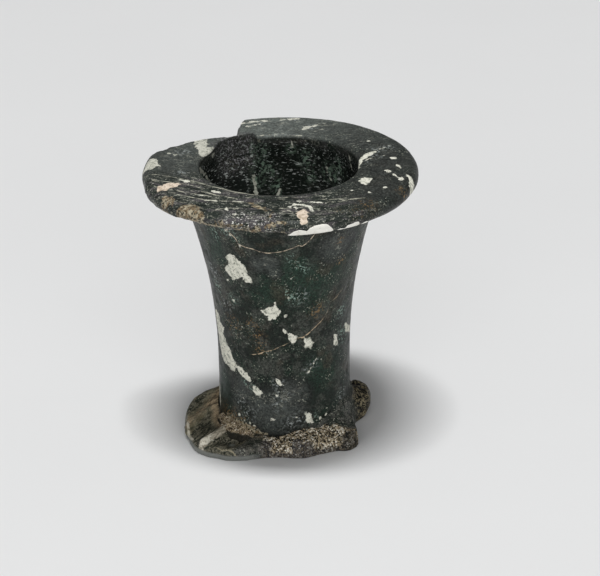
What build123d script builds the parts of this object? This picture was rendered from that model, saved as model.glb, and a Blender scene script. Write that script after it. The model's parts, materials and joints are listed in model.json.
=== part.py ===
from build123d import *
import math
import os

# A small Egyptian kohl jar: a waisted tube on a broken foot, with a broad flat rim.
# The tube's axis is Z and the foot rests on the XY plane. Bearings are in degrees
# about Z, and the jar's front is at -90. Sizes are in millimetres.

# Driving dimensions of the vessel
jar_height = 50.0
rim_diameter = 48.0
rim_thickness = 3.7
rim_fall = 0.5
rim_rise = 0.2
rim_edge_round = 1.0
lip_round = 0.7
mouth_diameter = 27.0
neck_diameter = 34.6
tube_diameter = 23.6
straight_height = 14.0
bore_diameter = 18.0
bore_straight_height = 24.0
bore_floor_thickness = 2.5
bore_floor_round = 2.0
lute_thickness = 0.3

# The old loss in the rim: a chord beside the mouth and a side that runs outwards.
# Its broken face leans outwards going down, and ends in the neck under the rim.
loss_corner_radius = 15.6
loss_corner_bearing = 119.0
loss_right_bearing = 105.0
loss_left_bearing = 165.0
loss_lean = 14.0
loss_depth = 8.0

# The sherd set back into the front of the neck
sherd_drop = 6.2
sherd_bearing = -97.0
sherd_lean = 6.8
glue_thickness = 0.2

# The fills in the rim's lower edge: first bearing and sweep of each
fill_depth = 1.3
fill_height = 1.6
fill_sweeps = [(-86.0, 18.0), (-65.0, 8.0), (-54.0, 3.0)]

# The foot: a broken slab whose top falls from the tube's wall to a level brim
foot_thickness = 3.6
brim_thickness = 2.0
brim_reach = 4.7
socket_depth = 1.0
# How far the broken edge of the foot stands out from the tube's wall, at each bearing
foot_reach = [
    (-12, 1.1), (-21, 1.6), (-32, 3.2), (-40, 4.9), (-45, 5.1), (-52, 4.1), (-62, 3.1), (-77, 3.3), (-94, 2.7),
    (-110, 4.0), (-118, 5.5), (-129, 7.0), (-141, 8.0), (-151, 7.6), (-161, 7.1), (-172, 6.5), (-181, 5.2),
    (-190, 3.7), (-201, 2.4), (-215, 1.7), (-240, 1.5), (-270, 1.5), (-300, 1.6), (-330, 2.2), (-348, 2.2),
]
# Ridges of the left lobe, root and tip of each: bearing, reach from the tube's wall, height, radius
ridges = [
    ((167, 0.6, 2.8, 2.0), (185, 5.0, 2.2, 1.5)),
    ((202, 0.4, 2.3, 1.5), (200, 5.9, 1.5, 1.1)),
    ((219, 1.4, 2.5, 0.9), (219.5, 6.9, 1.4, 0.8)),
]
# The cake of earth that spreads from the tube's bed over the foot at the front left
cake_bearing = -160.0
cake_sweep = 41.0
cake_reach = 2.0
cake_thickness = 0.5
cake_rise = 0.15

# The knob at the right
knob_bearing = 14.0
knob_reach = 1.4
knob_length = 8.0
knob_width = 5.4
knob_height = 5.3
knob_round = 1.6

# Sizes that follow from the driving dimensions
rim_radius = rim_diameter / 2
mouth_radius = mouth_diameter / 2
neck_radius = neck_diameter / 2
tube_radius = tube_diameter / 2
bore_radius = bore_diameter / 2
rim_underside = jar_height - rim_thickness
rim_edge_underside = rim_underside + rim_rise
tube_top = rim_underside - lute_thickness
sherd_toe_height = tube_top - sherd_drop
socket_floor = foot_thickness - socket_depth
socket_radius = tube_radius + lute_thickness
tube_bottom = socket_floor + lute_thickness
bore_floor = tube_bottom + bore_floor_thickness
funnel_middle = ((bore_radius + mouth_radius) / 2, (bore_straight_height + tube_top) / 2)
brim_radius = tube_radius + brim_reach


def at_bearing(bearing, radius):
    """A point in plan at a bearing and a distance from the tube's axis."""
    angle = math.radians(bearing)
    return (radius * math.cos(angle), radius * math.sin(angle))


def section_plane(bearing):
    """The upright plane through the axis at a bearing: its x runs outwards and its y runs up."""
    out_x, out_y = at_bearing(bearing, 1.0)
    return Plane(origin=(0, 0, 0), x_dir=(out_x, out_y, 0), z_dir=(out_y, -out_x, 0))


def neck_radius_at(height):
    """The neck's outer radius: an arc that leaves the straight tube and ends at the rim."""
    spread = neck_radius - tube_radius
    rise = tube_top - straight_height
    arc_radius = (spread**2 + rise**2) / (2 * spread)
    return tube_radius + arc_radius - math.sqrt(arc_radius**2 - (height - straight_height) ** 2)


def sherd_plane(inset):
    """The flat break behind the sherd, moved inwards by an inset and leaning in towards the top."""
    toe_x, toe_y = at_bearing(sherd_bearing, neck_radius_at(sherd_toe_height))
    lean = math.radians(sherd_lean)
    out_x, out_y = at_bearing(sherd_bearing, math.cos(lean))
    outward = Vector(out_x, out_y, math.sin(lean))
    return Plane(origin=Vector(toe_x, toe_y, sherd_toe_height) - outward * inset, z_dir=outward)


# The section of the whole tube and neck, before the sherd is parted from it
with BuildSketch(Plane.XZ) as tube_section:
    with BuildLine():
        Polyline((0, bore_floor), (0, tube_bottom), (tube_radius, tube_bottom), (tube_radius, straight_height))
        TangentArc((tube_radius, straight_height), (neck_radius, tube_top), tangent=(0, 1))
        Line((neck_radius, tube_top), (mouth_radius, tube_top))
        TangentArc((mouth_radius, tube_top), funnel_middle, tangent=(0, -1))
        TangentArc((bore_radius, bore_straight_height), funnel_middle, tangent=(0, 1))
        Polyline((bore_radius, bore_straight_height), (bore_radius, bore_floor), (0, bore_floor))
    make_face()
    floor_corner = tube_section.vertices().filter_by_position(Axis.Y, bore_floor, bore_floor).sort_by(Axis.X)[-1]
    fillet(floor_corner, radius=bore_floor_round)

# The rim's section: level over the neck, then rising below and falling on top to a round edge, with a soft lip
with BuildSketch(Plane.XZ) as rim_section:
    with BuildLine():
        Polyline(
            (mouth_radius, jar_height),
            (mouth_radius, rim_underside),
            (neck_radius, rim_underside),
            (rim_radius, rim_edge_underside),
            (rim_radius, jar_height - rim_fall),
            close=True,
        )
    make_face()
    rim_corners = rim_section.vertices().sort_by(Axis.X)
    fillet(rim_corners[-2:], radius=rim_edge_round)
    fillet(rim_section.vertices().sort_by(Axis.Y)[-1], radius=lip_round)

os.makedirs("parts", exist_ok=True)

# The form of the old loss, which the rim, its bed and the top of the neck lack
with BuildPart() as rim_loss:
    corner = Vector(*at_bearing(loss_corner_bearing, loss_corner_radius))
    right_end = Vector(*at_bearing(loss_right_bearing, rim_radius))
    left_end = Vector(*at_bearing(loss_left_bearing, rim_radius))
    past_right = corner + (right_end - corner) * 2
    past_left = corner + (left_end - corner) * 2
    with BuildSketch(Plane.XY.offset(jar_height)):
        with BuildLine():
            Polyline(corner, past_right, past_right + past_left - corner, past_left, close=True)
        make_face()
    extrude(amount=-loss_depth, taper=loss_lean)

# The tube, with the front of its neck parted off behind the glue
with BuildPart() as body_tube:
    revolve(tube_section.sketch, axis=Axis.Z)
    split(bisect_by=sherd_plane(glue_thickness), keep=Keep.BOTTOM)
    add(rim_loss.part, mode=Mode.SUBTRACT)
body_tube.part.label = "body_tube"
export_step(body_tube.part, "parts/body_tube.step")

# The sherd of the neck that was set back
with BuildPart() as neck_sherd:
    revolve(tube_section.sketch, axis=Axis.Z)
    split(bisect_by=sherd_plane(0), keep=Keep.TOP)
neck_sherd.part.label = "neck_sherd"
export_step(neck_sherd.part, "parts/neck_sherd.step")

# The film of glue between the sherd and the neck
with BuildPart() as sherd_glue:
    revolve(tube_section.sketch, axis=Axis.Z)
    split(bisect_by=sherd_plane(0), keep=Keep.BOTTOM)
    split(bisect_by=sherd_plane(glue_thickness), keep=Keep.TOP)
sherd_glue.part.label = "sherd_glue"
export_step(sherd_glue.part, "parts/sherd_glue.step")

# The fills, each a short turn of the rim's lower outer corner
with BuildPart() as rim_edge_fills:
    for first_bearing, sweep_angle in fill_sweeps:
        with BuildSketch(section_plane(first_bearing)):
            add(rim_section.sketch_local)
            with Locations((rim_radius, rim_edge_underside)):
                Rectangle(2 * fill_depth, 2 * fill_height, mode=Mode.INTERSECT)
        revolve(axis=Axis.Z, revolution_arc=sweep_angle)
rim_edge_fills.part.label = "rim_edge_fills"
export_step(rim_edge_fills.part, "parts/rim_edge_fills.step")

# The rim, with the pockets of the fills and the old loss at its back left
with BuildPart() as rim_collar:
    revolve(rim_section.sketch, axis=Axis.Z)
    add(rim_edge_fills.part, mode=Mode.SUBTRACT)
    add(rim_loss.part, mode=Mode.SUBTRACT)
rim_collar.part.label = "rim_collar"
export_step(rim_collar.part, "parts/rim_collar.step")

# The bed of paste between the neck and the rim
with BuildPart() as rim_lute:
    with BuildSketch(Plane.XY.offset(tube_top)):
        Circle(neck_radius)
        Circle(mouth_radius, mode=Mode.SUBTRACT)
    extrude(amount=lute_thickness)
    add(rim_loss.part, mode=Mode.SUBTRACT)
rim_lute.part.label = "rim_lute"
export_step(rim_lute.part, "parts/rim_lute.step")

# The form of the knob at the foot's right, which is one with the foot
with BuildPart() as foot_knob:
    with BuildSketch(Plane.XY.rotated((0, 0, knob_bearing))):
        with Locations((tube_radius + knob_reach, 0)):
            Ellipse(knob_width / 2, knob_length / 2)
    extrude(amount=knob_height)
    fillet(foot_knob.faces().sort_by(Axis.Z)[-1].edges(), radius=knob_round)

# The foot: a broken slab with a ridged lobe at the left, a knob at the right and a socket for the tube
with BuildPart() as foot_block:
    with BuildSketch():
        with BuildLine():
            Spline(*[at_bearing(b, tube_radius + reach) for b, reach in foot_reach], periodic=True)
        make_face()
    extrude(amount=foot_thickness)
    with BuildSketch(Plane.XZ):
        with BuildLine():
            Polyline(
                (0, 0),
                (2 * rim_radius, 0),
                (2 * rim_radius, brim_thickness),
                (brim_radius, brim_thickness),
                (tube_radius, foot_thickness),
                (0, foot_thickness),
                close=True,
            )
        make_face()
    revolve(axis=Axis.Z, mode=Mode.INTERSECT)
    for ends in ridges:
        centres = []
        for bearing, reach, height, radius in ends:
            centres.append(Vector(*at_bearing(bearing, tube_radius + reach), height))
        along = centres[1] - centres[0]
        for centre, (bearing, reach, height, radius) in zip(centres, ends):
            with BuildSketch(Plane(origin=centre, z_dir=along)):
                Circle(radius)
        loft()
        with Locations(centres[1]):
            Sphere(radius)
    add(foot_knob.part)
    split(bisect_by=Plane.XY, keep=Keep.TOP)
    with BuildSketch(Plane.XY.offset(socket_floor)):
        Circle(socket_radius)
    extrude(amount=jar_height, mode=Mode.SUBTRACT)
foot_block.part.label = "foot_block"
export_step(foot_block.part, "parts/foot_block.step")

# The cake of earth, a turn of a low wedge that lies on the foot and against the tube
with BuildPart() as earth_cake:
    cake_fall = (foot_thickness - brim_thickness) / brim_reach * cake_reach
    with BuildSketch(section_plane(cake_bearing)):
        with BuildLine():
            Polyline(
                (tube_radius, foot_thickness - cake_thickness),
                (tube_radius, foot_thickness + cake_rise),
                (tube_radius + cake_reach, foot_thickness - cake_fall + cake_thickness),
                (tube_radius + cake_reach, foot_thickness - cake_fall - cake_thickness),
                close=True,
            )
        make_face()
    revolve(axis=Axis.Z, revolution_arc=cake_sweep)
    add(foot_block.part, mode=Mode.SUBTRACT)

# The bed that the tube stands in: a disc under it, a collar round it and the cake at its front left
with BuildPart() as foot_lute:
    with BuildSketch(Plane.XY.offset(socket_floor)):
        Circle(socket_radius)
    extrude(amount=socket_depth)
    with BuildSketch(Plane.XY.offset(tube_bottom)):
        Circle(tube_radius)
    extrude(amount=socket_depth, mode=Mode.SUBTRACT)
    add(earth_cake.part)
foot_lute.part.label = "foot_lute"
export_step(foot_lute.part, "parts/foot_lute.step")

for piece in (body_tube, rim_collar, rim_lute, neck_sherd, sherd_glue, rim_edge_fills, foot_block, foot_lute):
    print(piece.part.label, len(piece.part.solids()), "solids", round(piece.part.volume, 2), "mm3")
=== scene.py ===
# %% [markdown]
# # A small jar for eye paint
# The jar is a waisted tube of dark, mottled faience on a broken foot, with a broad flat rim. Its
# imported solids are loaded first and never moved. Each one is then covered by a finer skin: a grid of
# points worked out with numpy, turned about the jar's axis, with the wear of the real surface in it.

# %% Load the frame
import json

import bpy
import numpy as np
from mathutils import Matrix, Vector


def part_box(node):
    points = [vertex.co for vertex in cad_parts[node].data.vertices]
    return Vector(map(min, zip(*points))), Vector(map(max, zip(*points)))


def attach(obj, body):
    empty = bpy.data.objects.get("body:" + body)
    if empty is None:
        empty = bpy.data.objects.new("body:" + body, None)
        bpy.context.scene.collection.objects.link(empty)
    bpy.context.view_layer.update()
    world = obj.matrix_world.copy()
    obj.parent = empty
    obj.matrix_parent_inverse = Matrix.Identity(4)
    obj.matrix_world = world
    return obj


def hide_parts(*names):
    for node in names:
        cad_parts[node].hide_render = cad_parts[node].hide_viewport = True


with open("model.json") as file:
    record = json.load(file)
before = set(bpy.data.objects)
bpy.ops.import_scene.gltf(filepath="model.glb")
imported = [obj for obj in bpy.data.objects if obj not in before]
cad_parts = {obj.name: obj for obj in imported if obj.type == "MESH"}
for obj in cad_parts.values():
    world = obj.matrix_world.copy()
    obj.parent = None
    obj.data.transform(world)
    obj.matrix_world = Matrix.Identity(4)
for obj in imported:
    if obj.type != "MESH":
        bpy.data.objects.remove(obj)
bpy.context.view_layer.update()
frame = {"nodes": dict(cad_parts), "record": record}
print("nodes:", ", ".join(sorted(frame["nodes"])))

# %% [markdown]
# ## Sizes
# The arrays below are in millimetres, which suit a jar of this size, and they become metres when they
# go into a mesh. The main sizes are read off the frame's boxes, so the skins follow the solids.
# Bearings are degrees about the axis: the front is -90, the left -180 and the right 0, and they run
# from -270 to 90, so that only the back of the jar lies at the ends of the range.

# %% Sizes from the frame
MM = 0.001


def corners(node):
    """The lowest and highest corner of a CAD node, in millimetres."""
    low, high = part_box(node)
    return np.array(low) / MM, np.array(high) / MM


rim_low, rim_high = corners("rim_collar")
tube_low, tube_high = corners("body_tube")
paste_low, paste_high = corners("rim_lute")
mouth = next(mount for mount in frame["record"]["mounts"] if mount["name"] == "mouth")
jar_height = rim_high[2]
rim_radius = rim_high[0]
rim_under = rim_low[2]
mouth_radius = mouth["dims"]["r_mm"]
neck_radius = tube_high[0]
tube_top = tube_high[2]
tube_foot = tube_low[2]
bed = paste_high[2] - paste_low[2]
socket_radius = corners("foot_lute")[1][0]
socket_floor = tube_foot - bed
tube_radius = socket_radius - bed
straight_height = 14.0
bore_radius = 9.0
bore_straight_height = 24.0
bore_floor = tube_foot + 2.5
bore_floor_round = 2.0
print(f"jar {jar_height:.1f} mm tall, rim {2 * rim_radius:.1f}, tube {2 * tube_radius:.1f} mm across")

# %% [markdown]
# ## Noise, distances and skins
# Wear is never regular, but the script has to give the same jar each time, so the noise is our own: a
# fixed number is hashed for each corner of a cubic lattice and blended between the corners. Patches
# and cracks are signed distances, which stay sharp when a mesh carries them as an attribute. A skin is
# a grid of points that closes on itself, either round a ring or onto a point at each end. Sculpting
# could give the wear too, but formulas can be read, and pieces that touch can share their edges.

# %% Helpers for grids


def step(value, low, high):
    """A smooth step: 0 where value is at low, 1 at high, and 3t^2 - 2t^3 between them."""
    t = np.clip((value - low) / (high - low), 0.0, 1.0)
    return t * t * (3.0 - 2.0 * t)


def band(value, rise_low, rise_high, fall_low, fall_high):
    """A smooth step up over one range of values, times a smooth step down over a later one."""
    return step(value, rise_low, rise_high) * (1.0 - step(value, fall_low, fall_high))


def hump(offset, width):
    """A bell: e to the minus square of an offset over a width, so 1 in the middle."""
    return np.exp(-((offset / width) ** 2))


def down(*numbers):
    """Numbers as a column, one for each row of a grid."""
    return np.array(numbers)[:, None]


def shares(count, ends=True):
    """Equal steps from 0 to 1 as a column, with or without the last."""
    return np.linspace(0.0, 1.0, count, endpoint=ends)[:, None]


def full_turn(count):
    """Bearings all round the jar as a row, from -270."""
    return np.linspace(-270.0, 90.0, count, endpoint=False)[None, :]


def follow(table, bearing, column=1):
    """The number at a bearing in a table whose rows start with bearings, straight between the rows."""
    return np.interp(bearing, table[:, 0], table[:, column])


def turned(bearing, radius, height):
    """Points at bearings about the axis: x = r cos b, y = r sin b, z = height."""
    angle = np.radians(bearing)
    return np.stack(np.broadcast_arrays(radius * np.cos(angle), radius * np.sin(angle), height), axis=-1)


def bearing_of(points):
    """Bearings of points in plan, from -270 to 90."""
    return (np.degrees(np.arctan2(points[..., 1], points[..., 0])) + 270.0) % 360.0 - 270.0


def radius_of(points):
    """Distances of points from the axis."""
    return np.hypot(points[..., 0], points[..., 1])


print("a turn in four:", full_turn(4)[0])

# %% Helpers for noise and distances


def lattice(cell, seed):
    """A fixed number from 0 to 1 for each whole-number corner, by multiplying and folding its bits."""
    mixed = cell[..., 0] * 374761393 + cell[..., 1] * 668265263 + cell[..., 2] * 1442695041 + seed * 974711
    mixed = (mixed ^ (mixed >> 13)) & 0xFFFFFFFF
    mixed = (mixed * 1274126177) & 0xFFFFFFFF
    return ((mixed ^ (mixed >> 16)) & 0xFFFF) / 65535.0


def noise(points, size, seed):
    """Smooth noise from -1 to 1: the eight corner numbers of a cell of this size, blended at each point."""
    place = points / size + 500.5
    cell = np.floor(place).astype(np.int64)
    t = step(place - cell, 0.0, 1.0)
    total = np.zeros(points.shape[:-1])
    for corner in np.ndindex(2, 2, 2):
        weight = np.prod(np.where(corner, t, 1.0 - t), axis=-1)
        total += weight * lattice(cell + corner, seed)
    return 2.0 * total - 1.0


def fractal(points, size, layers, seed):
    """Noise with finer layers added, each half the size and half the height of the one before."""
    return sum(noise(points, size / 2**i, seed + i) / 2**i for i in range(layers))


def runs(u, v, line):
    """Each straight run of a line: its ends, the nearest share of the way along it, and the distance."""
    for start, end in zip(line[:-1], line[1:]):
        du, dv = end[0] - start[0], end[1] - start[1]
        t = np.clip(((u - start[0]) * du + (v - start[1]) * dv) / (du * du + dv * dv), 0.0, 1.0)
        yield start, end, t, np.hypot(u - start[0] - t * du, v - start[1] - t * dv)


def line_away(u, v, line):
    """Distance to a line of joined straight runs: the least of the distances to each."""
    return np.min([away for *_, away in runs(u, v, line)], axis=0)


def within(u, v, outline):
    """Signed distance to a closed outline, positive inside it: the nearest side, and crossings counted."""
    closed = [*outline, outline[0]]
    inside = np.zeros(u.shape, bool)
    for (u0, v0), (u1, v1) in zip(closed[:-1], closed[1:]):
        crossed = (v0 > v) != (v1 > v)
        inside ^= crossed & (u < u0 + (v - v0) * (u1 - u0) / ((v1 - v0) or 1.0))
    return np.where(inside, 1.0, -1.0) * line_away(u, v, closed)


def marks(flat, first, second, patches=(), strokes=()):
    """Signed distance into the nearest of some outlines and strokes, on a flat map of a surface.

    flat takes a bearing and a second number to the map, for the points and for the marks alike. A
    stroke is half a width and a line.
    """
    u, v = flat(first, second)
    depths = [within(u, v, [flat(*place) for place in patch]) for patch in patches]
    depths += [half - line_away(u, v, [flat(*place) for place in line]) for half, line in strokes]
    return np.max(depths, axis=0)


def dots(away, places):
    """Signed distance into the nearest of some dots, given their places and radii, and away from a place."""
    return np.max([size - away(*place) for *place, size in places], axis=0)


def clouds(away, places):
    """The thickest of some round clouds at each point: a bell of the distance away from each place."""
    return np.max([hump(away(*place), size) for *place, size in places], axis=0)


print("noise at three points:", noise(np.eye(3) * 3.3, 1.0, 7).round(3))

# %% Helpers for skins


def unit_normals(points):
    """Unit normals of a grid: the cross product of its steps along the rows and along the columns."""
    along = np.roll(points, -1, axis=1) - np.roll(points, 1, axis=1)
    normal = np.cross(along, np.gradient(points, axis=0))
    return normal / np.maximum(np.linalg.norm(normal, axis=-1, keepdims=True), 1e-9)


def skin(name, points, poles, fields=None):
    """A closed mesh from a grid of points in millimetres, rows by columns, whose columns join in a loop.

    With poles, the first and the last row are single points, met by fans of triangles. Without, the
    last row joins the first. Each field is a number for every point, kept as an attribute. Faces are
    turned outwards by the sign of the volume, a sixth of the sum of corner . (corner x corner).
    """
    rows, columns = points.shape[:2]
    index = np.arange(rows * columns).reshape(rows, columns)
    if poles:
        index = index - (columns - 1)
        index[0] = 0
        index[-1] = (rows - 2) * columns + 1

    def pick(grid):
        """The grid's values in the order of the mesh's vertices."""
        if not poles:
            return grid.reshape(rows * columns, -1)
        body = grid[1:-1].reshape((rows - 2) * columns, -1)
        return np.concatenate([grid[0, :1].reshape(1, -1), body, grid[-1, :1].reshape(1, -1)])

    if poles:
        low, high = index[:-1], index[1:]
    else:
        low, high = index, np.roll(index, -1, axis=0)
    quads = np.stack([low, np.roll(low, -1, axis=1), np.roll(high, -1, axis=1), high], axis=-1).reshape(-1, 4)
    places = pick(points) * MM
    a, b, c, d = (places[quads[:, i]] for i in range(4))
    volume = np.einsum("ij,ij->", a, np.cross(b, c)) + np.einsum("ij,ij->", a, np.cross(c, d))
    if volume < 0:
        quads = quads[:, ::-1]
    faces = quads.tolist()
    if poles:
        faces = [list(dict.fromkeys(face)) for face in faces]
    mesh = bpy.data.meshes.new(name)
    mesh.from_pydata(places.tolist(), [], faces)
    mesh.polygons.foreach_set("use_smooth", np.ones(len(mesh.polygons), bool))
    for field, grid in (fields or {}).items():
        values = pick(np.broadcast_to(grid, points.shape[:2])[..., None]).ravel().astype(np.float32)
        mesh.attributes.new(field, "FLOAT", "POINT").data.foreach_set("value", values)
    mesh.update()
    piece = bpy.data.objects.new(name, mesh)
    bpy.context.scene.collection.objects.link(piece)
    print(f"{name}: {len(mesh.polygons)} faces, {abs(volume) / 6 / MM**3:.0f} mm3")
    return piece


def seat(piece, node, finish):
    """A skin rides on the jar's one body, stands for its CAD node, and takes its finish."""
    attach(piece, "root")
    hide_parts(node)
    piece.data.materials.append(finish)


print("skin helpers ready")

# %% [markdown]
# ## The old loss
# A wedge of the rim is gone at the back left, and the break runs on into the top of the neck. In plan
# its edge is a radius at each bearing: straight out along a bearing on its right side, and a slanting
# chord on its left. The broken face leans outwards going down. Where the lip beside it is gone
# too, a rough slope runs into the bore. A boolean could cut the wedge out, but a limit on the radius
# keeps the rows of the grids whole.

# %% The edge of the loss
loss_edge = np.array([
    (-256.5, 25.0), (-253.0, 22.2), (-247.0, 18.9), (-240.5, 15.6), (-234.0, 15.8), (-226.0, 17.4),
    (-222.0, 18.2), (-213.5, 19.5), (-208.5, 20.1), (-205.0, 21.0), (-200.0, 21.7), (-197.5, 22.7),
    (-195.0, 23.2), (-191.0, 23.6), (-186.0, 23.9), (-183.0, 25.0),
])
loss_lean = 0.25
lip_loss = 1.9
lip_wear = 0.5
lip_wear_foot = 37.0


def loss_limit(bearing, height):
    """The radius of the broken face: its edge in plan, moved out by its lean below the rim's top."""
    edge = np.interp(bearing, loss_edge[:, 0], loss_edge[:, 1], left=99.0, right=99.0)
    face = edge + loss_lean * (jar_height - height)
    return face + 0.22 * fractal(turned(bearing, face.clip(0, 30), height), 1.6, 3, 41)


def lip_break(bearing):
    """How much of the lip is gone: nothing to all of it, sharply at its right and slowly at its left."""
    return band(bearing, -253.0, -250.5, -230.0, -206.0)


def lip_slope(bearing, height):
    """How far the worn lip lies behind the whole one: it slopes from the loss down into the bore."""
    depth = lip_loss * lip_break(bearing) + lip_wear * band(bearing, -225.0, -195.0, -165.0, -140.0)
    return depth * step(height, lip_wear_foot, jar_height) ** 1.4


print(f"loss from bearing {loss_edge[0, 0]:.0f} to {loss_edge[-1, 0]:.0f}")

# %% [markdown]
# ## The tube's wall
# Tube, sherd and glue film all end in the same outer wall, so its radius is one function: the straight
# tube, the arc of the neck, and a relief of slow waves, pits and the groove of a crack. Pieces that
# share an edge ask for the same points there, and meet without a gap. Places on the wall are a bearing
# and a height.

# %% The wall
sherd_edge = np.array([
    (-129.5, tube_top), (-124.0, 43.9), (-122.5, 43.2), (-119.0, 42.2), (-117.5, 41.0), (-113.5, 40.6),
    (-108.0, 40.4), (-104.0, 39.9), (-98.0, 39.8), (-91.0, 40.1), (-88.0, 40.3), (-83.0, 40.8),
    (-79.0, 41.3), (-77.0, 41.0), (-74.0, 41.6), (-72.5, 42.1), (-70.0, 43.1), (-65.0, tube_top),
])
tube_crack = np.array([
    (-118.0, 18.5), (-112.0, 18.8), (-107.0, 19.4), (-99.0, 19.9), (-93.0, 20.6), (-86.0, 21.3),
    (-78.0, 22.2), (-73.0, 22.3), (-66.0, 23.3), (-60.0, 24.3), (-55.0, 25.3), (-52.0, 26.2),
    (-49.0, 27.9), (-43.0, 28.7), (-36.0, 30.0),
])


def neck_radius_at(height):
    """The outer radius: the straight tube, then an arc that spreads to the neck's radius at the top."""
    spread = neck_radius - tube_radius
    rise = tube_top - straight_height
    arc = (spread**2 + rise**2) / (2.0 * spread)
    above = np.maximum(height - straight_height, 0.0)
    return tube_radius + arc - np.sqrt(arc**2 - above**2)


def crack_offset(bearing, height):
    """How far a point lies above the crack, square to it: the difference in height over its slope."""
    line = follow(tube_crack, bearing)
    reach = 1.0
    slope = (follow(tube_crack, bearing + reach) - line) / (np.radians(reach) * neck_radius_at(height))
    return (height - line) / np.hypot(1.0, slope)


def crack_reach(bearing):
    """One along the crack, fainter in its right half, and nothing past its ends."""
    first, last = tube_crack[0, 0], tube_crack[-1, 0]
    faint = 1.0 - 0.6 * step(bearing, -64.0, -52.0)
    return faint * band(bearing, first - 1.5, first + 1.0, last - 6.0, last + 1.0)


def wall_radius(bearing, height):
    """The wall with its relief: slow waves, fine waves, pits and the crack's groove, within the loss."""
    radius = neck_radius_at(height)
    points = turned(bearing, radius, height)
    relief = 0.09 * fractal(points, 8.0, 2, 11) + 0.022 * fractal(points, 0.9, 2, 13) - 0.05
    pits = 0.12 * step(noise(points, 1.5, 17), 0.62, 0.85)
    groove = 0.09 * hump(crack_offset(bearing, height), 0.15) * crack_reach(bearing)
    return np.minimum(radius + relief - pits - groove, loss_limit(bearing, height))


def unrolled(bearing, height):
    """A place on the wall as distances round it and up it: radians times the radius there, and height."""
    return np.radians(bearing) * neck_radius_at(height), height


def unrolled_mouth(bearing, height):
    """A place inside the mouth as distances round it and up it."""
    return np.radians(bearing) * mouth_radius, height


def wall_away(bearing, height):
    """A function of a place that gives the points' distance from it along the wall."""
    radius = neck_radius_at(height)
    return lambda b, z: np.hypot(np.radians(bearing - b) * radius, height - z)


print(f"neck radius {neck_radius_at(30.0):.2f} mm at 30 mm, {neck_radius_at(tube_top):.2f} mm at the top")

# %% [markdown]
# ## Marks on the wall and in the mouth
# Cream patches and a skin of earth are outlines, given as bearing and height. Clouds are the places
# where fine flecks of a colour gather, or where the ground turns dark green or dusty. Each becomes a
# field: a number at every point of a skin, which the finishes read. A painted image could carry the
# marks too, but fields need no unwrapping.

# %% Patches on the wall
wall_patches = [
    [(-125, 38.9), (-120, 37.8), (-115, 36.3), (-114, 34.9), (-111, 34.3), (-112, 33.2), (-117, 33.3),
     (-119, 34.1), (-124, 33.5), (-128, 32.8), (-130, 33.7), (-134, 34.9), (-129, 36.4), (-130, 37.6)],
    [(-109, 27.8), (-102, 28.4), (-98, 28.6), (-95.5, 29.7), (-94.5, 28.6), (-91.5, 27.7), (-93, 26.8),
     (-96, 25.8), (-101, 26.1), (-103, 27.1)],
    [(-167, 23.8), (-157, 24.0), (-156, 22.2), (-149, 21.8), (-152, 20.2), (-148, 18.9), (-142, 17.8),
     (-139, 16.4), (-135, 15.1), (-137, 13.9), (-142, 13.9), (-154, 14.4), (-161, 15.6), (-166, 18.3),
     (-170, 21.2)],
    [(-134, 15.6), (-126, 14.9), (-121, 14.0), (-118, 13.1), (-124, 13.1), (-132, 13.8)],
    [(-118, 12.8), (-113, 12.2), (-108, 11.2), (-112, 10.3), (-118, 11.2)],
    [(-176, 8.2), (-170, 8.0), (-166, 5.6), (-168, 4.0), (-174, 4.6)],
    [(-91, 24.3), (-84, 23.3), (-79, 22.7), (-78.5, 21.4), (-84, 21.1), (-86, 22.5)],
    [(-72, 22.1), (-67, 21.9), (-63, 20.7), (-66, 19.7), (-72, 20.1), (-73, 21.3)],
    [(-42, 21.0), (-38, 20.6), (-37, 18.4), (-43, 18.8)],
    [(-27, 21.8), (-12, 20.3), (-8, 18.2), (-23, 19.7)],
    [(-72, 7.3), (-67, 6.7), (-65, 5.0), (-69, 4.6), (-73, 5.8)],
    [(-97, 14.2), (-93, 14.0), (-91, 13.0), (-95, 12.8)],
    [(-70, 15.1), (-66, 16.2), (-60.5, 17.8), (-60, 17.6), (-65, 15.9), (-69, 14.9)],
    [(-211, 34.0), (-204, 35.5), (-198, 33.0), (-202, 29.5), (-208, 30.0)],
    [(60, 30.5), (66, 29.0), (63, 24.5), (55, 22.0), (52, 25.0), (57, 27.5)],
    [(20, 39.0), (27, 40.0), (31, 38.0), (25, 36.0), (19, 37.0)],
    [(-240, 21.0), (-232, 19.5), (-236, 15.0), (-247, 12.0), (-251, 14.0), (-244, 17.0)],
]
earth_patches = [
    [(-160, 2.8), (-152, 4.4), (-142, 4.9), (-134, 4.7), (-124, 4.6), (-114, 3.9), (-106, 3.2), (-106, 2.4),
     (-160, 2.4)],
]
# Cream dots: the place of each, and its radius
wall_dots = [
    (-134, 32.5, 0.35), (-88, 27.0, 0.4), (-58, 5.6, 0.35), (-39, 5.4, 0.45), (-86, 33.0, 0.2),
    (-85.5, 30.5, 0.25), (-124, 43.6, 0.3), (-122, 42.7, 0.35), (-119.5, 41.8, 0.3), (-117, 40.9, 0.25),
    (-96, 10.9, 0.25), (-80, 6.6, 0.2), (-131, 28.6, 0.25), (-134, 5.6, 0.25), (-128, 5.0, 0.25),
    (-122, 4.7, 0.3), (-118, 4.4, 0.25), (-125, 6.0, 0.2), (-113, 5.0, 0.2), (-100, 6.0, 0.2),
    (-62, 5.2, 0.25), (-52, 5.8, 0.25),
]
print(len(wall_patches), "cream patches and", len(wall_dots), "dots on the wall")

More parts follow.
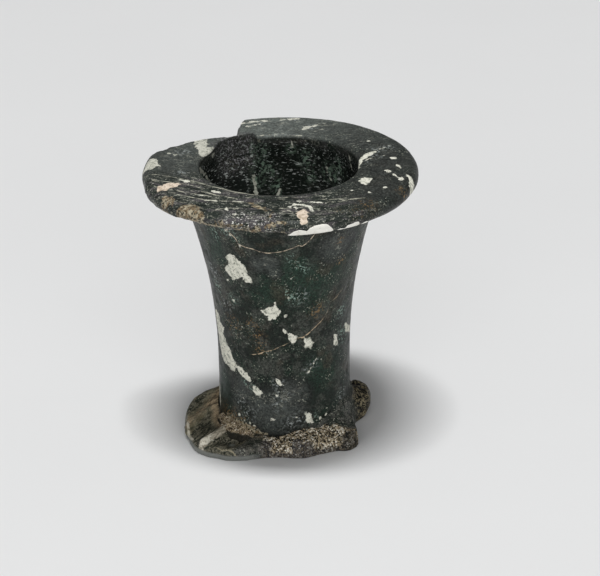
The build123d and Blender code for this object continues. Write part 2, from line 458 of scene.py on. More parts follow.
# %% Clouds on the wall
# Clouds of teal, rust and grey flecks, and of dark green in the ground: the place and size of each
wall_clouds = {
    "teal": [
        (-83, 38.8, 0.9), (-78, 37.2, 1.1), (-74, 36.2, 0.8), (-86, 31.2, 0.9), (-81, 30.4, 1.2),
        (-125, 44.0, 1.4), (-134, 42.0, 1.2), (-118, 42.6, 1.0), (-28, 20.0, 1.8), (-36, 25.0, 1.2),
        (-132, 29.0, 0.9), (-66, 5.8, 1.0), (-150, 30.0, 1.2), (20, 30.0, 2.0), (-215, 40.0, 1.8),
        (60, 36.0, 2.0), (-190, 12.0, 1.6), (-250, 26.0, 2.0), (30, 12.0, 1.8), (-124, 12.9, 0.9),
        (-119, 12.2, 0.7),
    ],
    "rust": [
        (-116, 24.4, 1.1), (-112, 22.4, 1.2), (-109, 20.2, 1.2), (-136, 23.5, 1.5), (-62, 27.0, 1.2),
        (-45, 36.0, 1.0), (-50, 40.5, 0.8), (-150, 5.0, 1.4), (-140, 4.8, 1.5), (-130, 4.4, 1.3),
        (45, 18.0, 2.2), (-205, 20.0, 2.0), (80, 40.0, 1.8), (-230, 32.0, 1.8),
    ],
    "haze": [
        (-95, 13.4, 1.0), (-92, 10.8, 1.3), (-96, 9.0, 1.0), (-77, 6.4, 1.3), (-124, 6.8, 1.5),
        (-132, 8.5, 1.0), (-69, 15.6, 0.9), (-63, 16.8, 0.9), (-76, 30.8, 1.2), (-140, 27.0, 1.2),
        (-150, 33.0, 1.6), (-30, 8.0, 1.4), (0, 24.0, 2.0), (-185, 28.0, 2.0), (70, 10.0, 2.0),
        (-86, 5.2, 1.2),
    ],
    "green": [
        (-86, 34.5, 4.5), (-70, 33.0, 4.5), (-57, 35.5, 4.0), (-98, 31.5, 3.0), (-54, 14.5, 3.6),
        (-140, 38.0, 3.0), (10, 40.0, 4.5), (40, 26.0, 4.0), (-200, 24.0, 4.5), (-230, 12.0, 4.0),
        (80, 18.0, 4.5), (-160, 10.0, 3.0),
    ],
}
dust_clouds = [
    (-92, 8.5, 3.6), (-104, 6.5, 3.2), (-82, 11.0, 2.6), (-112, 9.0, 2.6), (-52, 40.0, 3.0),
    (-128, 11.0, 2.4), (30, 8.0, 4.0), (-210, 9.0, 4.0), (-99, 37.8, 1.7), (-106, 37.4, 1.5),
    (-95, 35.8, 1.1),
]
dust_grey = 0.07
print(sum(len(places) for places in wall_clouds.values()), "clouds of flecks and green")

# %% Marks in the mouth, and the fields
# Pale veins inside the mouth, as strokes, and clouds of green flecks there
inner_veins = [
    (0.36, [(-248, 42.2), (-249, 40.8), (-249.5, 39.2)]), (0.3, [(-184, 49.0), (-198, 46.2), (-206, 43.8)]),
    (0.1, [(-188, 48.8), (-202, 45.6)]), (0.25, [(-269, 39.6), (-267, 38.6)]),
    (0.12, [(53, 44.6), (50, 43.2), (48, 42.4)]), (0.2, [(82, 48.7), (81, 47.6)]),
    (0.45, [(-203, 49.8), (-209, 49.2), (-214, 48.7)]), (0.15, [(28, 49.0), (22, 46.4)]),
]
inner_teal = [
    (-268, 40.4, 1.4), (51, 43.9, 1.4), (44, 43.2, 1.0), (-255, 47.0, 1.6), (-256, 44.0, 1.6),
    (-252, 41.6, 1.2), (82, 47.2, 0.9), (66, 42.5, 1.0), (-190, 47.0, 1.6), (40, 45.5, 1.6),
    (70, 45.5, 1.6), (-262, 43.5, 1.2),
]
# What the faience's fields say where a skin has no mark: distances are far off, shares are nothing
far = 9.0
no_marks = {
    **dict.fromkeys(("pale", "pink", "crust", "vein"), -far), "crack": far,
    **dict.fromkeys(("crack_reach", "streak", "broken", "inside", "teal", "rust", "haze", "green"), 0.0),
    **dict.fromkeys(("veil", "lens", "along", "across"), 0.0),
}


def wall_fields(bearing, height):
    """Marks on the wall: depths into cream and earth, the crack's offset and reach, and the clouds."""
    bearing, height = np.broadcast_arrays(bearing, height)
    away = wall_away(bearing, height)
    return {
        "pale": np.maximum(marks(unrolled, bearing, height, wall_patches), dots(away, wall_dots)),
        "crust": marks(unrolled, bearing, height, earth_patches),
        "crack": crack_offset(bearing, height),
        "crack_reach": crack_reach(bearing),
        "veil": dust_grey * clouds(away, dust_clouds),
        **{name: clouds(away, places) for name, places in wall_clouds.items()},
    }


def inner_fields(bearing, height):
    """Marks on the mouth's inner wall: depth into the nearest vein, and the clouds of green flecks."""
    bearing, height = np.broadcast_arrays(bearing, height)
    veins = marks(unrolled_mouth, bearing, height, strokes=inner_veins)
    return {"pale": veins, "teal": clouds(wall_away(bearing, height), inner_teal)}


print(len(inner_veins), "veins in the mouth, and", len(no_marks), "fields")

# %% [markdown]
# ## The tube
# One closed skin: the flat bottom, the wall up to the edge of the sherd's bed or to the rim, the scar
# where the sherd was, and the funnel and bore down to the floor. The scar is a straight run from the
# wall's edge to the break's line at the top, then level to the mouth, stepped by its own length, so
# that no two points fall together where the sherd's bed narrows to nothing.

# %% The scar and the bore
sherd_bearing = -97.0
sherd_lean = np.radians(6.8)
sherd_toe = corners("neck_sherd")[0][2]
glue_film = 0.15
inner_lip = 0.5
# A row of points this close to a sharp corner keeps the shading of its two faces apart
seam = 0.02


def scar_radius(bearing, height, inset):
    """The flat break behind the sherd, as a radius: its distance from the axis over cos of the bearing."""
    toe = neck_radius_at(sherd_toe)
    distance = toe - (height - sherd_toe) * np.tan(sherd_lean) - inset
    return distance / np.cos(np.radians(bearing - sherd_bearing).clip(-1.2, 1.2))


def scar_top(bearing, edge, inset):
    """Where the break reaches the top: on its plane, or less deep where little height is left for it."""
    wall = wall_radius(bearing, np.full_like(bearing, tube_top))
    depth = np.minimum(wall - scar_radius(bearing, tube_top, inset), tube_top - edge)
    return wall - np.maximum(depth, 0.0)


def bore_profile(count, bend_rows=7):
    """Radius and height down the inside: the funnel's two arcs, the bore, a round floor, the axis."""
    spread = (mouth_radius - bore_radius) / 2
    rise = (tube_top - bore_straight_height) / 2
    arc = (spread**2 + rise**2) / (2.0 * spread)
    funnel = np.linspace(tube_top, bore_straight_height, 2 * count)
    from_end = np.minimum(funnel - bore_straight_height, tube_top - funnel)
    drawn_in = arc - np.sqrt(arc**2 - from_end**2)
    lower = funnel < bore_straight_height + rise
    funnel_radius = np.where(lower, bore_radius + drawn_in, mouth_radius - drawn_in)
    straight = np.linspace(bore_straight_height, bore_floor + bore_floor_round, count)[1:]
    turn = np.linspace(0.0, np.pi / 2, bend_rows + 1)[1:]
    bend_radius = bore_radius - bore_floor_round * (1.0 - np.cos(turn))
    bend = bore_floor + bore_floor_round * (1.0 - np.sin(turn))
    floor_radius = np.linspace(bore_radius - bore_floor_round, 0.0, bend_rows + 1)[1:]
    radius = np.concatenate([funnel_radius, np.full(count - 1, bore_radius), bend_radius, floor_radius])
    height = np.concatenate([funnel, straight, bend, np.full(bend_rows, bore_floor)])
    return radius[:, None], height[:, None]


print(f"sherd's bed from {sherd_toe:.1f} mm up")

# %% Build the tube
tube_columns, wall_rows, scar_rows = 384, 148, 12
tube_bearing = full_turn(tube_columns)
edge = follow(sherd_edge, tube_bearing)
bottom = turned(tube_bearing, down(0.0, 0.4, 0.75, 0.97) * tube_radius, tube_foot)
wall_height = tube_foot + shares(wall_rows) * (edge - tube_foot)
wall = turned(tube_bearing, wall_radius(tube_bearing, wall_height), wall_height)
edge_radius = wall_radius(tube_bearing, edge)
top_radius = scar_top(tube_bearing, edge, glue_film)
rise_length = np.hypot(edge_radius - top_radius, tube_top - edge)
level_length = top_radius - mouth_radius - inner_lip - lip_slope(tube_bearing, tube_top)
travel = shares(scar_rows + 1)[1:] * (rise_length + level_length)
climb = np.clip(travel / np.maximum(rise_length, 1e-6), 0.0, 1.0)
level = np.maximum(travel - rise_length, 0.0)
scar = turned(
    tube_bearing, edge_radius + climb * (top_radius - edge_radius) - level, edge + climb * (tube_top - edge)
)
lip_out = mouth_radius + down(inner_lip, 0.5 * inner_lip, seam, 0.0, 0.0)
lip_height = rim_under - down(0.0, 0.0, 0.0, 0.0, seam)
lip_top = turned(tube_bearing, lip_out + lip_slope(tube_bearing, rim_under), lip_height)
inner_radius, inner_height = bore_profile(26)
worn = lip_break(tube_bearing) * step(inner_height, 33.0, tube_top)
inner_points = turned(tube_bearing, inner_radius, inner_height)
inner_relief = 0.06 * fractal(inner_points, 3.0, 3, 23) * step(inner_radius, 0.0, 4.0)
inner_relief = inner_relief + worn * 0.12 * fractal(inner_points, 1.4, 3, 71)
inner_relief = inner_relief * step(tube_top - inner_height, 0.0, 0.6) + lip_slope(tube_bearing, inner_height)
inner = turned(tube_bearing, inner_radius + inner_relief, inner_height)
tube_points = np.concatenate([bottom, wall, scar, lip_top, inner])

# The fields: those of the wall and of the mouth on their own rows, and no marks elsewhere
wall_part = slice(len(bottom), len(bottom) + wall_rows)
inner_part = slice(-len(inner), None)
glint_length = 3.0
tube_marks = {name: np.full(tube_points.shape[:2], value) for name, value in no_marks.items()}
for name, grid in wall_fields(tube_bearing, wall_height).items():
    tube_marks[name][wall_part] = grid
for name, grid in inner_fields(tube_bearing, inner_height).items():
    tube_marks[name][inner_part] = grid
# Past the wall the rows lie in the mouth or out of sight, and the finish paints them dark: painted shade
tube_marks["inside"][wall_part.stop:] = 1.0
tube_marks["broken"][inner_part] = worn
tube_marks["streak"][inner_part] = 0.7 * step(inner_height, 25.0, 38.0)
tube_marks["along"], tube_marks["across"] = (tube_points[..., i] / glint_length * MM for i in (0, 1))
tube = skin("waisted_tube", tube_points, True, tube_marks)

# %% [markdown]
# ## The sherd and its glue
# The sherd is a curved chip: at each bearing its section is a closed loop, up the wall, across the top
# and down the break, and it shrinks to a point at both ends. The film of old glue is a thinner loop
# between the break in the neck and the one on the sherd, and its edge is the tan line that shows. Both
# could be cut from the tube, but a loop at each bearing keeps the rows even where they taper.

# %% Build the sherd and the glue film
# Where less of the sherd than this would be left, it ends in a point
least_height = 0.02


def straight_run(first, last, count):
    """Points in a straight line from one row of points towards another, without the last of them."""
    return first + shares(count, False)[..., None] * (last - first)


def wall_run(bearing, low, high, count):
    """Points up the wall between two heights at each bearing, without the last of them."""
    height = low + shares(count, False) * (high - low)
    return turned(bearing, wall_radius(bearing, height), height)


def join_pieces():
    """The loops of the film and of the sherd at each bearing between the two ends of the sherd's edge."""
    bearing = np.linspace(sherd_edge[0, 0], sherd_edge[-1, 0], 150)[None, :]
    low = follow(sherd_edge, bearing)
    slope = np.gradient(low[0], np.radians(bearing[0]) * neck_radius)[None, :]
    high = np.minimum(low + glue_film * np.hypot(1.0, slope), tube_top)
    top = np.full_like(bearing, tube_top)
    film_low, film_high, top_front = (turned(bearing, wall_radius(bearing, z), z) for z in (low, high, top))
    sherd_back = turned(bearing, scar_top(bearing, high, 0.0), top)
    neck_face = turned(bearing, scar_top(bearing, low, glue_film), top)
    film = np.concatenate([
        straight_run(film_low, film_high, 3), straight_run(film_high, sherd_back, 12),
        straight_run(sherd_back, neck_face, 2), straight_run(neck_face, film_low, 12),
    ])
    sherd = np.concatenate([
        wall_run(bearing, high, top, 22), straight_run(top_front, sherd_back, 6),
        straight_run(sherd_back, film_high, 14),
    ])
    live = np.flatnonzero((top - high)[0] > least_height)
    kept = slice(live[0] - 1, live[-1] + 2)
    sherd = sherd[:, kept]
    for end in (0, -1):
        sherd[:, end] = sherd[:1, end]
    return film.swapaxes(0, 1), sherd.swapaxes(0, 1), bearing[:, kept]


film_points, sherd_points, sherd_bearings = join_pieces()
sherd_marks = wall_fields(sherd_bearings.T, sherd_points[..., 2])
sherd = skin("set_back_sherd", sherd_points, True, {**no_marks, **sherd_marks})
glue = skin("sherd_glue_film", film_points, True)

# %% [markdown]
# ## The rim
# A broad flat ring. Its section runs up the mouth, over a soft lip, along the falling top, round the edge
# as half an oval, and back along the underside. Where the loss cuts the ring, the top ends sharply at
# the broken edge, and the oval is replaced by the broken face. The front is layered and worn along its
# streaks, so the relief there is noise drawn out in one direction. One turned profile would do for a
# whole ring, but the loss changes the section from bearing to bearing.

# %% The rim's section
back_fall, front_fall = 0.3, 0.8
whole_rise, worn_rise = 0.1, 0.65
lip_round = 0.7
edge_width = 1.65
skin_rim = rim_radius - 0.16
edge_start = skin_rim - edge_width


def top_height(bearing, radius):
    """The rim's top: it falls from mouth to edge as the 1.3th power of the way, most at the front."""
    way = np.clip((radius - mouth_radius) / (skin_rim - mouth_radius), 0.0, 1.0)
    at_front = band(bearing, -178.0, -140.0, -40.0, -4.0)
    return jar_height - (back_fall + (front_fall - back_fall) * at_front) * way**1.3


def under_height(bearing, radius):
    """The rim's underside: level over the neck, then a smooth step up, higher where the edge is worn."""
    rise = whole_rise + (worn_rise - whole_rise) * band(bearing, -143.0, -133.0, -89.0, -84.0)
    return rim_under + rise * step(radius, neck_radius, edge_start)


def rim_section(bearing):
    """Radius and height round the rim's section at each bearing, from the foot of the mouth back to it."""
    mouth_top = mouth_radius + lip_slope(bearing, jar_height)
    end = np.minimum(edge_start, loss_limit(bearing, np.full_like(bearing, jar_height)))
    end = np.maximum(end, mouth_top + 0.2)
    lip = np.minimum(lip_round * (1.0 - 0.8 * lip_break(bearing)), 0.4 * (end - mouth_top))
    lip_top = top_height(bearing, mouth_top + lip)
    climb = np.concatenate([down(0.0, seam / 3.0), shares(13)[1:-1]])
    up = rim_under + climb * (lip_top - lip - rim_under)
    turn = np.linspace(0.0, np.pi / 2, 10)[:-1, None]
    over = lip_top - lip * (1 - np.sin(turn))
    top = mouth_top + lip + shares(64)[:-1] * (end - mouth_top - lip)
    foot, head = under_height(bearing, end), top_height(bearing, end)
    half_turn = np.linspace(np.pi / 2, -np.pi / 2, 34)[:, None]
    face = (head + foot) / 2 + (head - foot) / 2 * np.sin(half_turn)
    face_radius = np.minimum(end + edge_width * np.cos(half_turn), np.maximum(loss_limit(bearing, face), end))
    back = np.concatenate([shares(20)[::-1][1:-1], down(seam / 4.0)])
    mouth_foot = mouth_radius + lip_slope(bearing, rim_under)
    under = mouth_foot + back * (end - mouth_foot)
    radius = np.concatenate([
        mouth_radius + lip_slope(bearing, up),
        mouth_radius + lip * (1 - np.cos(turn)) + lip_slope(bearing, over),
        top, face_radius, under,
    ])
    return radius, np.concatenate([up, over, top_height(bearing, top), face, under_height(bearing, under)])


print(f"rim's edge from radius {edge_start:.2f} to {skin_rim:.2f} mm")

# %% The rim's relief
rim_columns = 560
streak_stretch, streak_curve = 3.6, 64.0


def streak_space(points):
    """Points drawn out along the streaks, which are parabolas: y - x^2 / 64 is the same all along one."""
    across = points[..., 1] - points[..., 0] ** 2 / streak_curve
    return np.stack([points[..., 0] / streak_stretch, across, points[..., 2]], axis=-1)


def front_share(points):
    """How much a point belongs to the worn, streaky front of the rim: by its bearing and its radius."""
    wavy = np.degrees(np.arctan2(points[..., 1], points[..., 0])) + 14.0 * noise(points, 5.0, 51)
    return band(wavy, -178.0, -158.0, -62.0, -36.0) * step(radius_of(points), 13.6, 15.0)


# Columns stand closest together at the corner of the loss
fine_turn = np.linspace(-270.0, 90.0, 2000)
density = np.cumsum(1.0 + 2.0 * hump(fine_turn + 247.0, 9.0))
rim_bearing = np.interp(shares(rim_columns, False).T, density / density[-1], fine_turn)
rim_radii, rim_height = rim_section(rim_bearing)
rim_shape = turned(rim_bearing, rim_radii, rim_height)
front = front_share(rim_shape)
chipped = lip_break(rim_bearing) * (1.0 - step(rim_radii, 15.0, 17.0))
edge_wear = step(rim_radii, 21.3, 23.5)
broken = step(loss_limit(rim_bearing, rim_height) - rim_radii, 0.4, 0.05)
relief = (
    0.05 * fractal(rim_shape, 6.0, 2, 61) + 0.02 * fractal(rim_shape, 0.9, 2, 63)
    + front * (0.07 * fractal(streak_space(rim_shape), 0.9, 3, 65) - 0.05)
    + front * edge_wear * 0.14 * fractal(rim_shape, 1.8, 3, 67)
    + broken * 0.08 * fractal(rim_shape, 0.7, 2, 69) + chipped * 0.12 * fractal(rim_shape, 1.4, 3, 71)
)
beside_mouth = step(rim_radii - mouth_radius - lip_slope(rim_bearing, rim_height), 0.0, 0.3)
relief = relief * np.maximum(beside_mouth, step(rim_height - rim_under, 0.0, 1.0))
rim_points = rim_shape - unit_normals(rim_shape) * relief[..., None]
rim_points[..., 2] = np.minimum(rim_points[..., 2], jar_height)
print(f"rim relief from {relief.min():.2f} to {relief.max():.2f} mm")

# %% [markdown]
# ## Marks on the rim
# Cream patches run through the dark body, so on the rim they are outlines in plan, given as bearing and
# radius, and carry over the edge by themselves. The pink patches and the tan crusts are kept as their
# own fields, because their colours differ. Strokes have half a width, then the places along each.

# %% Patches and strokes on the rim
rim_patches = [
    [(-177.5, 23.8), (-184, 23.6), (-190, 23.0), (-188, 21.5), (-181, 20.8), (-177.5, 22.1)],
    [(-218, 19.2), (-223, 17.9), (-218, 16.2), (-214, 15.4), (-215, 14.2), (-208, 13.2), (-200, 13.2),
     (-198, 14.3), (-200, 15.6), (-207, 16.0), (-212, 17.6)],
    [(-12, 13.2), (-2, 13.3), (8, 13.9), (14, 15.3), (18, 17.6), (15, 17.4), (8, 15.1), (0, 14.0),
     (-10, 13.8)],
    [(-32, 15.5), (-25, 15.7), (-23.5, 17.1), (-29, 17.4), (-34, 17.4), (-33.5, 16.4)],
    [(-13.5, 22.1), (-14.7, 23.2), (-20, 24.3), (-27, 24.5), (-23, 23.8), (-18, 22.9)],
]
rim_strokes = [
    (0.35, [(-160, 18.0), (-157, 17.2)]), (0.3, [(-134, 16.0), (-130, 15.8)]),
    (0.2, [(-117, 19.8), (-115.5, 20.6)]), (0.2, [(-139, 18.6), (-136, 18.2)]),
    (0.2, [(-197, 20.4), (-195.5, 19.0)]), (0.12, [(-201, 22.6), (-205, 21.5)]),
    (0.32, [(-250, 20.6), (-257, 21.2), (-264, 20.9)]), (0.1, [(-250, 18.9), (-259, 19.6)]),
    (0.3, [(-270, 20.8), (-274, 21.7), (-278, 22.0)]), (0.3, [(86, 21.4), (81, 21.9)]),
    (0.25, [(76, 16.0), (74, 17.8), (70.5, 19.0)]), (0.1, [(3, 14.8), (8, 16.5), (10, 18.8)]),
    (0.1, [(16, 16.8), (20, 19.0), (23, 21.0)]), (0.3, [(-3.5, 20.2), (-7.5, 20.9)]),
    (0.15, [(-15, 19.8), (-18.5, 21.6)]), (0.12, [(-80, 16.5), (-72, 17.2), (-66, 18.3)]),
    (0.28, [(-85, 18.1), (-82, 17.4), (-77.5, 17.7), (-75, 18.7), (-74.8, 20.2)]),
    (0.25, [(-82.3, 18.6), (-82, 20.0)]), (0.02, [(-114, 24.1), (-111, 24.0), (-109, 24.1)]),
    (0.0, [(-103, 24.0), (-101, 24.1)]), (0.1, [(-131, 19.2), (-122, 18.1)]),
    (0.1, [(-120, 17.9), (-110, 16.8)]),
]
rim_dots = [
    (6, 19.8, 0.6), (-12.2, 18.8, 0.55), (-18.7, 21.8, 0.5), (-30, 20.4, 0.25), (26, 23.1, 0.25),
    (-45, 17.0, 0.2), (-40, 19.5, 0.2), (33, 18.5, 0.15), (-110.5, 21.5, 0.3), (-110, 22.6, 0.35),
]
print(len(rim_patches), "patches,", len(rim_strokes), "strokes and", len(rim_dots), "dots on the rim")

# %% Veins, crusts and clouds on the rim
# Veins are strokes too, but thin and unbroken
rim_veins = [
    (0.07, [(-172, 23.4), (-171, 21.4), (-164, 18.6), (-157, 16.6), (-149, 15.5), (-137, 14.7), (-122, 14.3),
            (-105, 14.1)]),
    (0.05, [(-166, 22.6), (-160, 19.6), (-152, 17.4), (-143, 16.4)]),
    (0.05, [(-150, 20.2), (-141, 18.6), (-131, 17.6)]),
    (0.06, [(-146, 20.8), (-131, 19.2), (-122, 18.1), (-110, 17.2), (-100, 17.2)]),
    (0.06, [(-121, 23.6), (-121, 22.5), (-120, 20.9), (-115, 19.7), (-111, 19.4)]),
    (0.05, [(-140, 17.4), (-128, 16.6), (-116, 16.4)]),
    (0.05, [(-103, 18.4), (-96, 19.6), (-95, 21.4), (-97.5, 23.2)]),
    (0.05, [(-92, 18.6), (-84, 18.9)]), (0.05, [(-96, 17.4), (-88, 19.0), (-84, 20.2)]),
    (0.05, [(70.5, 19.0), (66, 19.6), (60, 20.8)]), (0.05, [(-66, 17.0), (-55, 18.6), (-46, 20.4)]),
    (0.04, [(-63, 18.6), (-55, 19.0), (-50, 19.8)]), (0.0, [(-250, 14.0), (-262, 13.9), (-270, 13.8)]),
    (0.0, [(90, 13.8), (74, 13.8)]),
]
pink_patches = [
    [(-154.5, 23.0), (-158, 22.4), (-159.5, 20.6), (-158.5, 18.9), (-155.8, 18.4), (-154.3, 19.8),
     (-153.6, 21.6)],
    [(-82.3, 20.0), (-78.5, 19.4), (-76.7, 20.8), (-78, 21.2), (-79, 23.6), (-82, 23.4), (-82.2, 21.5)],
]
# A dark green lens in the worn front
green_lens = [
    (-122, 23.8), (-122, 22.7), (-119, 21.4), (-116, 20.4), (-113.5, 21.3), (-112.5, 23.2), (-115, 24.0),
    (-118, 24.0),
]
crust_patches = [
    [(-137, 24.4), (-136, 22.6), (-132, 21.4), (-127, 22.0), (-122, 23.3), (-121, 24.4)],
    [(-150, 23.6), (-148.5, 22.2), (-144, 21.9), (-141, 23.2), (-143, 24.0)],
    [(-108, 17.0), (-101, 17.8), (-95, 19.2), (-96.5, 19.9), (-103, 18.7)],
]
crust_strokes = [
    (0.1, [(-99, 23.8), (-97, 23.0), (-95, 21.4), (-93, 20.0)]), (0.25, [(-116, 24.1), (-108, 24.1)]),
    (0.15, [(-105, 24.0), (-99, 24.1)]), (0.1, [(-95, 23.6), (-88, 23.3)]),
]
rim_haze = [
    (18, 17.8, 1.4), (21, 20.0, 1.3), (-112, 22.2, 1.1), (-258, 20.6, 1.6), (72, 18.0, 1.4), (84, 21.5, 1.3),
    (-200, 18.0, 1.6), (-75, 16.9, 1.0), (-170, 17.0, 1.2), (3, 14.8, 1.1), (10, 16.4, 1.4),
]
rim_rust = [(-50, 22.0, 1.5), (-57, 23.0, 1.2), (-28, 23.4, 1.0), (-64, 21.5, 1.0)]
# How pale the rim's top is at each bearing, most at the back and the left: worn grey and painted sheen
worn_and_sheen_greys = np.array([
    (-270, 0.155), (-235, 0.130), (-205, 0.080), (-175, 0.062), (-150, 0.045), (-110, 0.034), (-60, 0.027),
    (-20, 0.025), (20, 0.030), (60, 0.082), (90, 0.155),
])
print(len(rim_veins), "veins and", len(crust_patches), "crusts on the rim")

# %% Build the rim


def in_plan(bearing, radius):
    """A bearing and radius as x and y."""
    angle = np.radians(bearing)
    return radius * np.cos(angle), radius * np.sin(angle)


def rim_away(bearing, radius):
    """Distance in plan of the rim's points from a bearing and radius."""
    x, y = in_plan(bearing, radius)
    return np.hypot(rim_shape[..., 0] - x, rim_shape[..., 1] - y)


def rim_depth(patches=(), strokes=()):
    """Depth of the rim's points in outlines and strokes, in plan."""
    return marks(in_plan, rim_bearing, rim_radii, patches, strokes)


mouth_wall = (1.0 - beside_mouth) * (1.0 - step(rim_height, 49.0, 49.6))
rim_inner = inner_fields(rim_bearing, rim_height)
rim_pale = np.maximum(rim_depth(rim_patches, rim_strokes), dots(rim_away, rim_dots))
rim_pale = rim_pale - 3.0 * mouth_wall * (1.0 - step(rim_bearing, -60.0, -40.0))
rim_pale = np.maximum(rim_pale, rim_inner["pale"] - far * (1.0 - mouth_wall))
# Crust along the worn lower edge of the front: a band above the underside, in lumps
low_edge = rim_height - under_height(rim_bearing, edge_start)
lumps = 0.5 * noise(rim_shape, 2.0, 73) * step(rim_radii, 21.0, 22.5)
on_front = band(rim_bearing, -140.0, -132.0, -91.0, -85.0) * step(rim_radii, 21.5, 22.5)
edge_crust = np.where(on_front > 0.5, 0.10 + lumps - np.abs(low_edge - 0.6), -far)
in_lens = step(rim_depth([green_lens]), -0.2, 0.3)
streaks = streak_space(rim_shape)
rim_marks = {
    "pale": rim_pale,
    "lens": band(rim_bearing, -118.0, -110.0, -94.0, -88.0) * step(rim_radii, 19.6, 21.2),
    "vein": rim_depth(strokes=rim_veins) - far * mouth_wall,
    "pink": rim_depth(pink_patches),
    "crust": np.maximum(rim_depth(crust_patches, crust_strokes), edge_crust),
    "streak": np.maximum(front * (1.0 - 0.55 * in_lens), 0.6 * mouth_wall),
    "green": 0.8 * in_lens,
    "broken": np.maximum(broken, chipped),
    # The mouth's wall is painted dark, as painted shade, up to just under the lip
    "inside": (1.0 - beside_mouth) * (1.0 - step(rim_height, 47.5, 49.6)),
    "haze": clouds(rim_away, rim_haze),
    "rust": clouds(rim_away, rim_rust),
    "teal": rim_inner["teal"] * mouth_wall,
    "veil": follow(worn_and_sheen_greys, rim_bearing) * (1.0 - 0.6 * front) * (1.0 - mouth_wall) * (1.0 - broken),
    "along": streaks[..., 0] * MM,
    "across": streaks[..., 1] * MM,
}
rim = skin("flat_rim", rim_points, False, {**no_marks, **rim_marks})

# %% [markdown]
# ## The fills
# Three smooth, off-white fills sit in the chipped lower edge of the rim. Each is a lens laid on the
# edge's oval: at each bearing it spans from the underside to a scalloped top, stands a little
# proud, and reaches a little way in, and both shrink to a point at its ends. Sunk balls could do, but
# would not follow the edge.

# %% Build the fills
fill_zones = [
    [(-87, 47.0), (-85, 47.6), (-82.5, 47.8), (-80.5, 47.6), (-79.5, 47.4), (-78.5, 47.9), (-76.5, 48.3),
     (-73, 48.4), (-71, 48.3), (-69, 47.7), (-68, 47.2)],
    [(-66, 46.9), (-63.5, 47.35), (-59, 47.6), (-57, 47.6), (-56, 47.2)],
    [(-54.5, 46.9), (-53, 47.2), (-51.5, 46.9)],
]
fill_bearing = -70.0
fill_proud = 0.08
fill_depth = 0.6
fill_foot_turn = np.radians(-84.0)
fill_rows, fill_columns = 60, 28
edge_top, edge_foot = top_height(fill_bearing, edge_start), under_height(fill_bearing, edge_start)
edge_middle, edge_half = (edge_top + edge_foot) / 2, (edge_top - edge_foot) / 2


def fill_lens(zone):
    """A lens over a zone of the edge: its loop runs up its face and down its back at each bearing.

    The edge is half an oval, turned from -90 at the underside to 90 at the top.
    """
    zone = np.array(zone, float)
    bearing = np.linspace(zone[0, 0], zone[-1, 0], fill_rows)[:, None]
    top_rise = (follow(zone, bearing) - edge_middle) / edge_half
    top_turn = np.arcsin(np.clip(top_rise, -0.99, 0.99))
    fullness = np.sqrt(np.clip(1.0 - (2.0 * shares(fill_rows) - 1.0) ** 6, 0.0, 1.0))
    round_loop = np.linspace(0.0, 2 * np.pi, fill_columns, endpoint=False)[None, :]
    spread = (top_turn - fill_foot_turn) / 2 * fullness
    turn = (top_turn + fill_foot_turn) / 2 - np.cos(round_loop) * spread
    lift = np.sin(round_loop)
    proud = np.where(lift > 0, fill_proud * np.sqrt(np.abs(lift)), -fill_depth * np.abs(lift)) * fullness
    radius = edge_start + (edge_width + proud) * np.cos(turn)
    points = turned(bearing, radius, edge_middle + (edge_half + proud) * np.sin(turn))
    for end in (0, -1):
        points[end] = points[end].mean(axis=0)
    return points


fills = [skin(f"edge_fill_{number}", fill_lens(zone), True) for number, zone in enumerate(fill_zones, 1)]

# %% [markdown]
# ## The bed under the rim
# A thin ring of paste lies between the neck and the rim. It shows inside the mouth and, from below, as
# an uneven bead, so its edges wander a little. Its section is an oval with squared corners. A torus
# would be simpler, but the loss cuts into this ring.

# %% Build the rim's bed
paste_bearing = full_turn(360)
paste_turn = 2 * np.pi * shares(20, False)
paste_inner = mouth_radius + inner_lip + lip_slope(paste_bearing, tube_top) + 0.05
paste_outer = np.minimum(neck_radius - 0.02, loss_limit(paste_bearing, rim_under))
paste_width = (paste_outer - paste_inner) / 2
paste_side = np.sign(np.cos(paste_turn)) * np.abs(np.cos(paste_turn)) ** 0.15
paste_rise = np.sign(np.sin(paste_turn)) * np.abs(np.sin(paste_turn)) ** 0.4
paste_shape = turned(
    paste_bearing, paste_inner + paste_width * (1 + paste_side), tube_top + bed / 2 * (1 + paste_rise)
)
paste_points = paste_shape + turned(paste_bearing, 0.05 * fractal(paste_shape, 1.5, 2, 81), 0.0)
paste = skin("rim_paste_bed", paste_points, False)

# %% [markdown]
# ## The foot
# The foot is a broken slab, and its outline in plan is read off the frame's own foot. Its top is a
# height over the plan: at each bearing it falls from a height beside the tube to one at the edge. The
# left lobe has an upper and a lower ridge with a saddle between them, a pale toe, a low brow and a
# hollow, which are crests along lines and a round dip. The knob at the right, a small bump and the
# grains of the break are added. Below the lobe's side runs a low, smooth skirt. It could be sculpted,
# but here each form stays a line or an oval and a few numbers, which can be moved by hand.

# %% The foot's outline
foot_node = frame["nodes"]["foot_block"].data
foot_vertices = np.empty(len(foot_node.vertices) * 3)
foot_node.vertices.foreach_get("co", foot_vertices)
foot_vertices = foot_vertices.reshape(-1, 3) / MM
ground_height = 0.05
ground = foot_vertices[foot_vertices[:, 2] < ground_height]
bin_width = 3.0
bins = ((bearing_of(ground) + 270.0) // bin_width).astype(int)
reach = np.zeros(int(360 / bin_width))
np.maximum.at(reach, bins, radius_of(ground))
bin_middle = -270.0 + bin_width * (np.arange(len(reach)) + 0.5)


def foot_reach(bearing):
    """The foot's radius in plan: the frame's outline, with the small bites of a break."""
    radius = np.interp(bearing, bin_middle[reach > 0], reach[reach > 0], period=360.0)
    return radius - 0.15 + 0.18 * fractal(turned(bearing, radius, 0.0), 2.2, 3, 91)


print(f"foot reaches {reach.min():.1f} to {reach.max():.1f} mm from the axis")

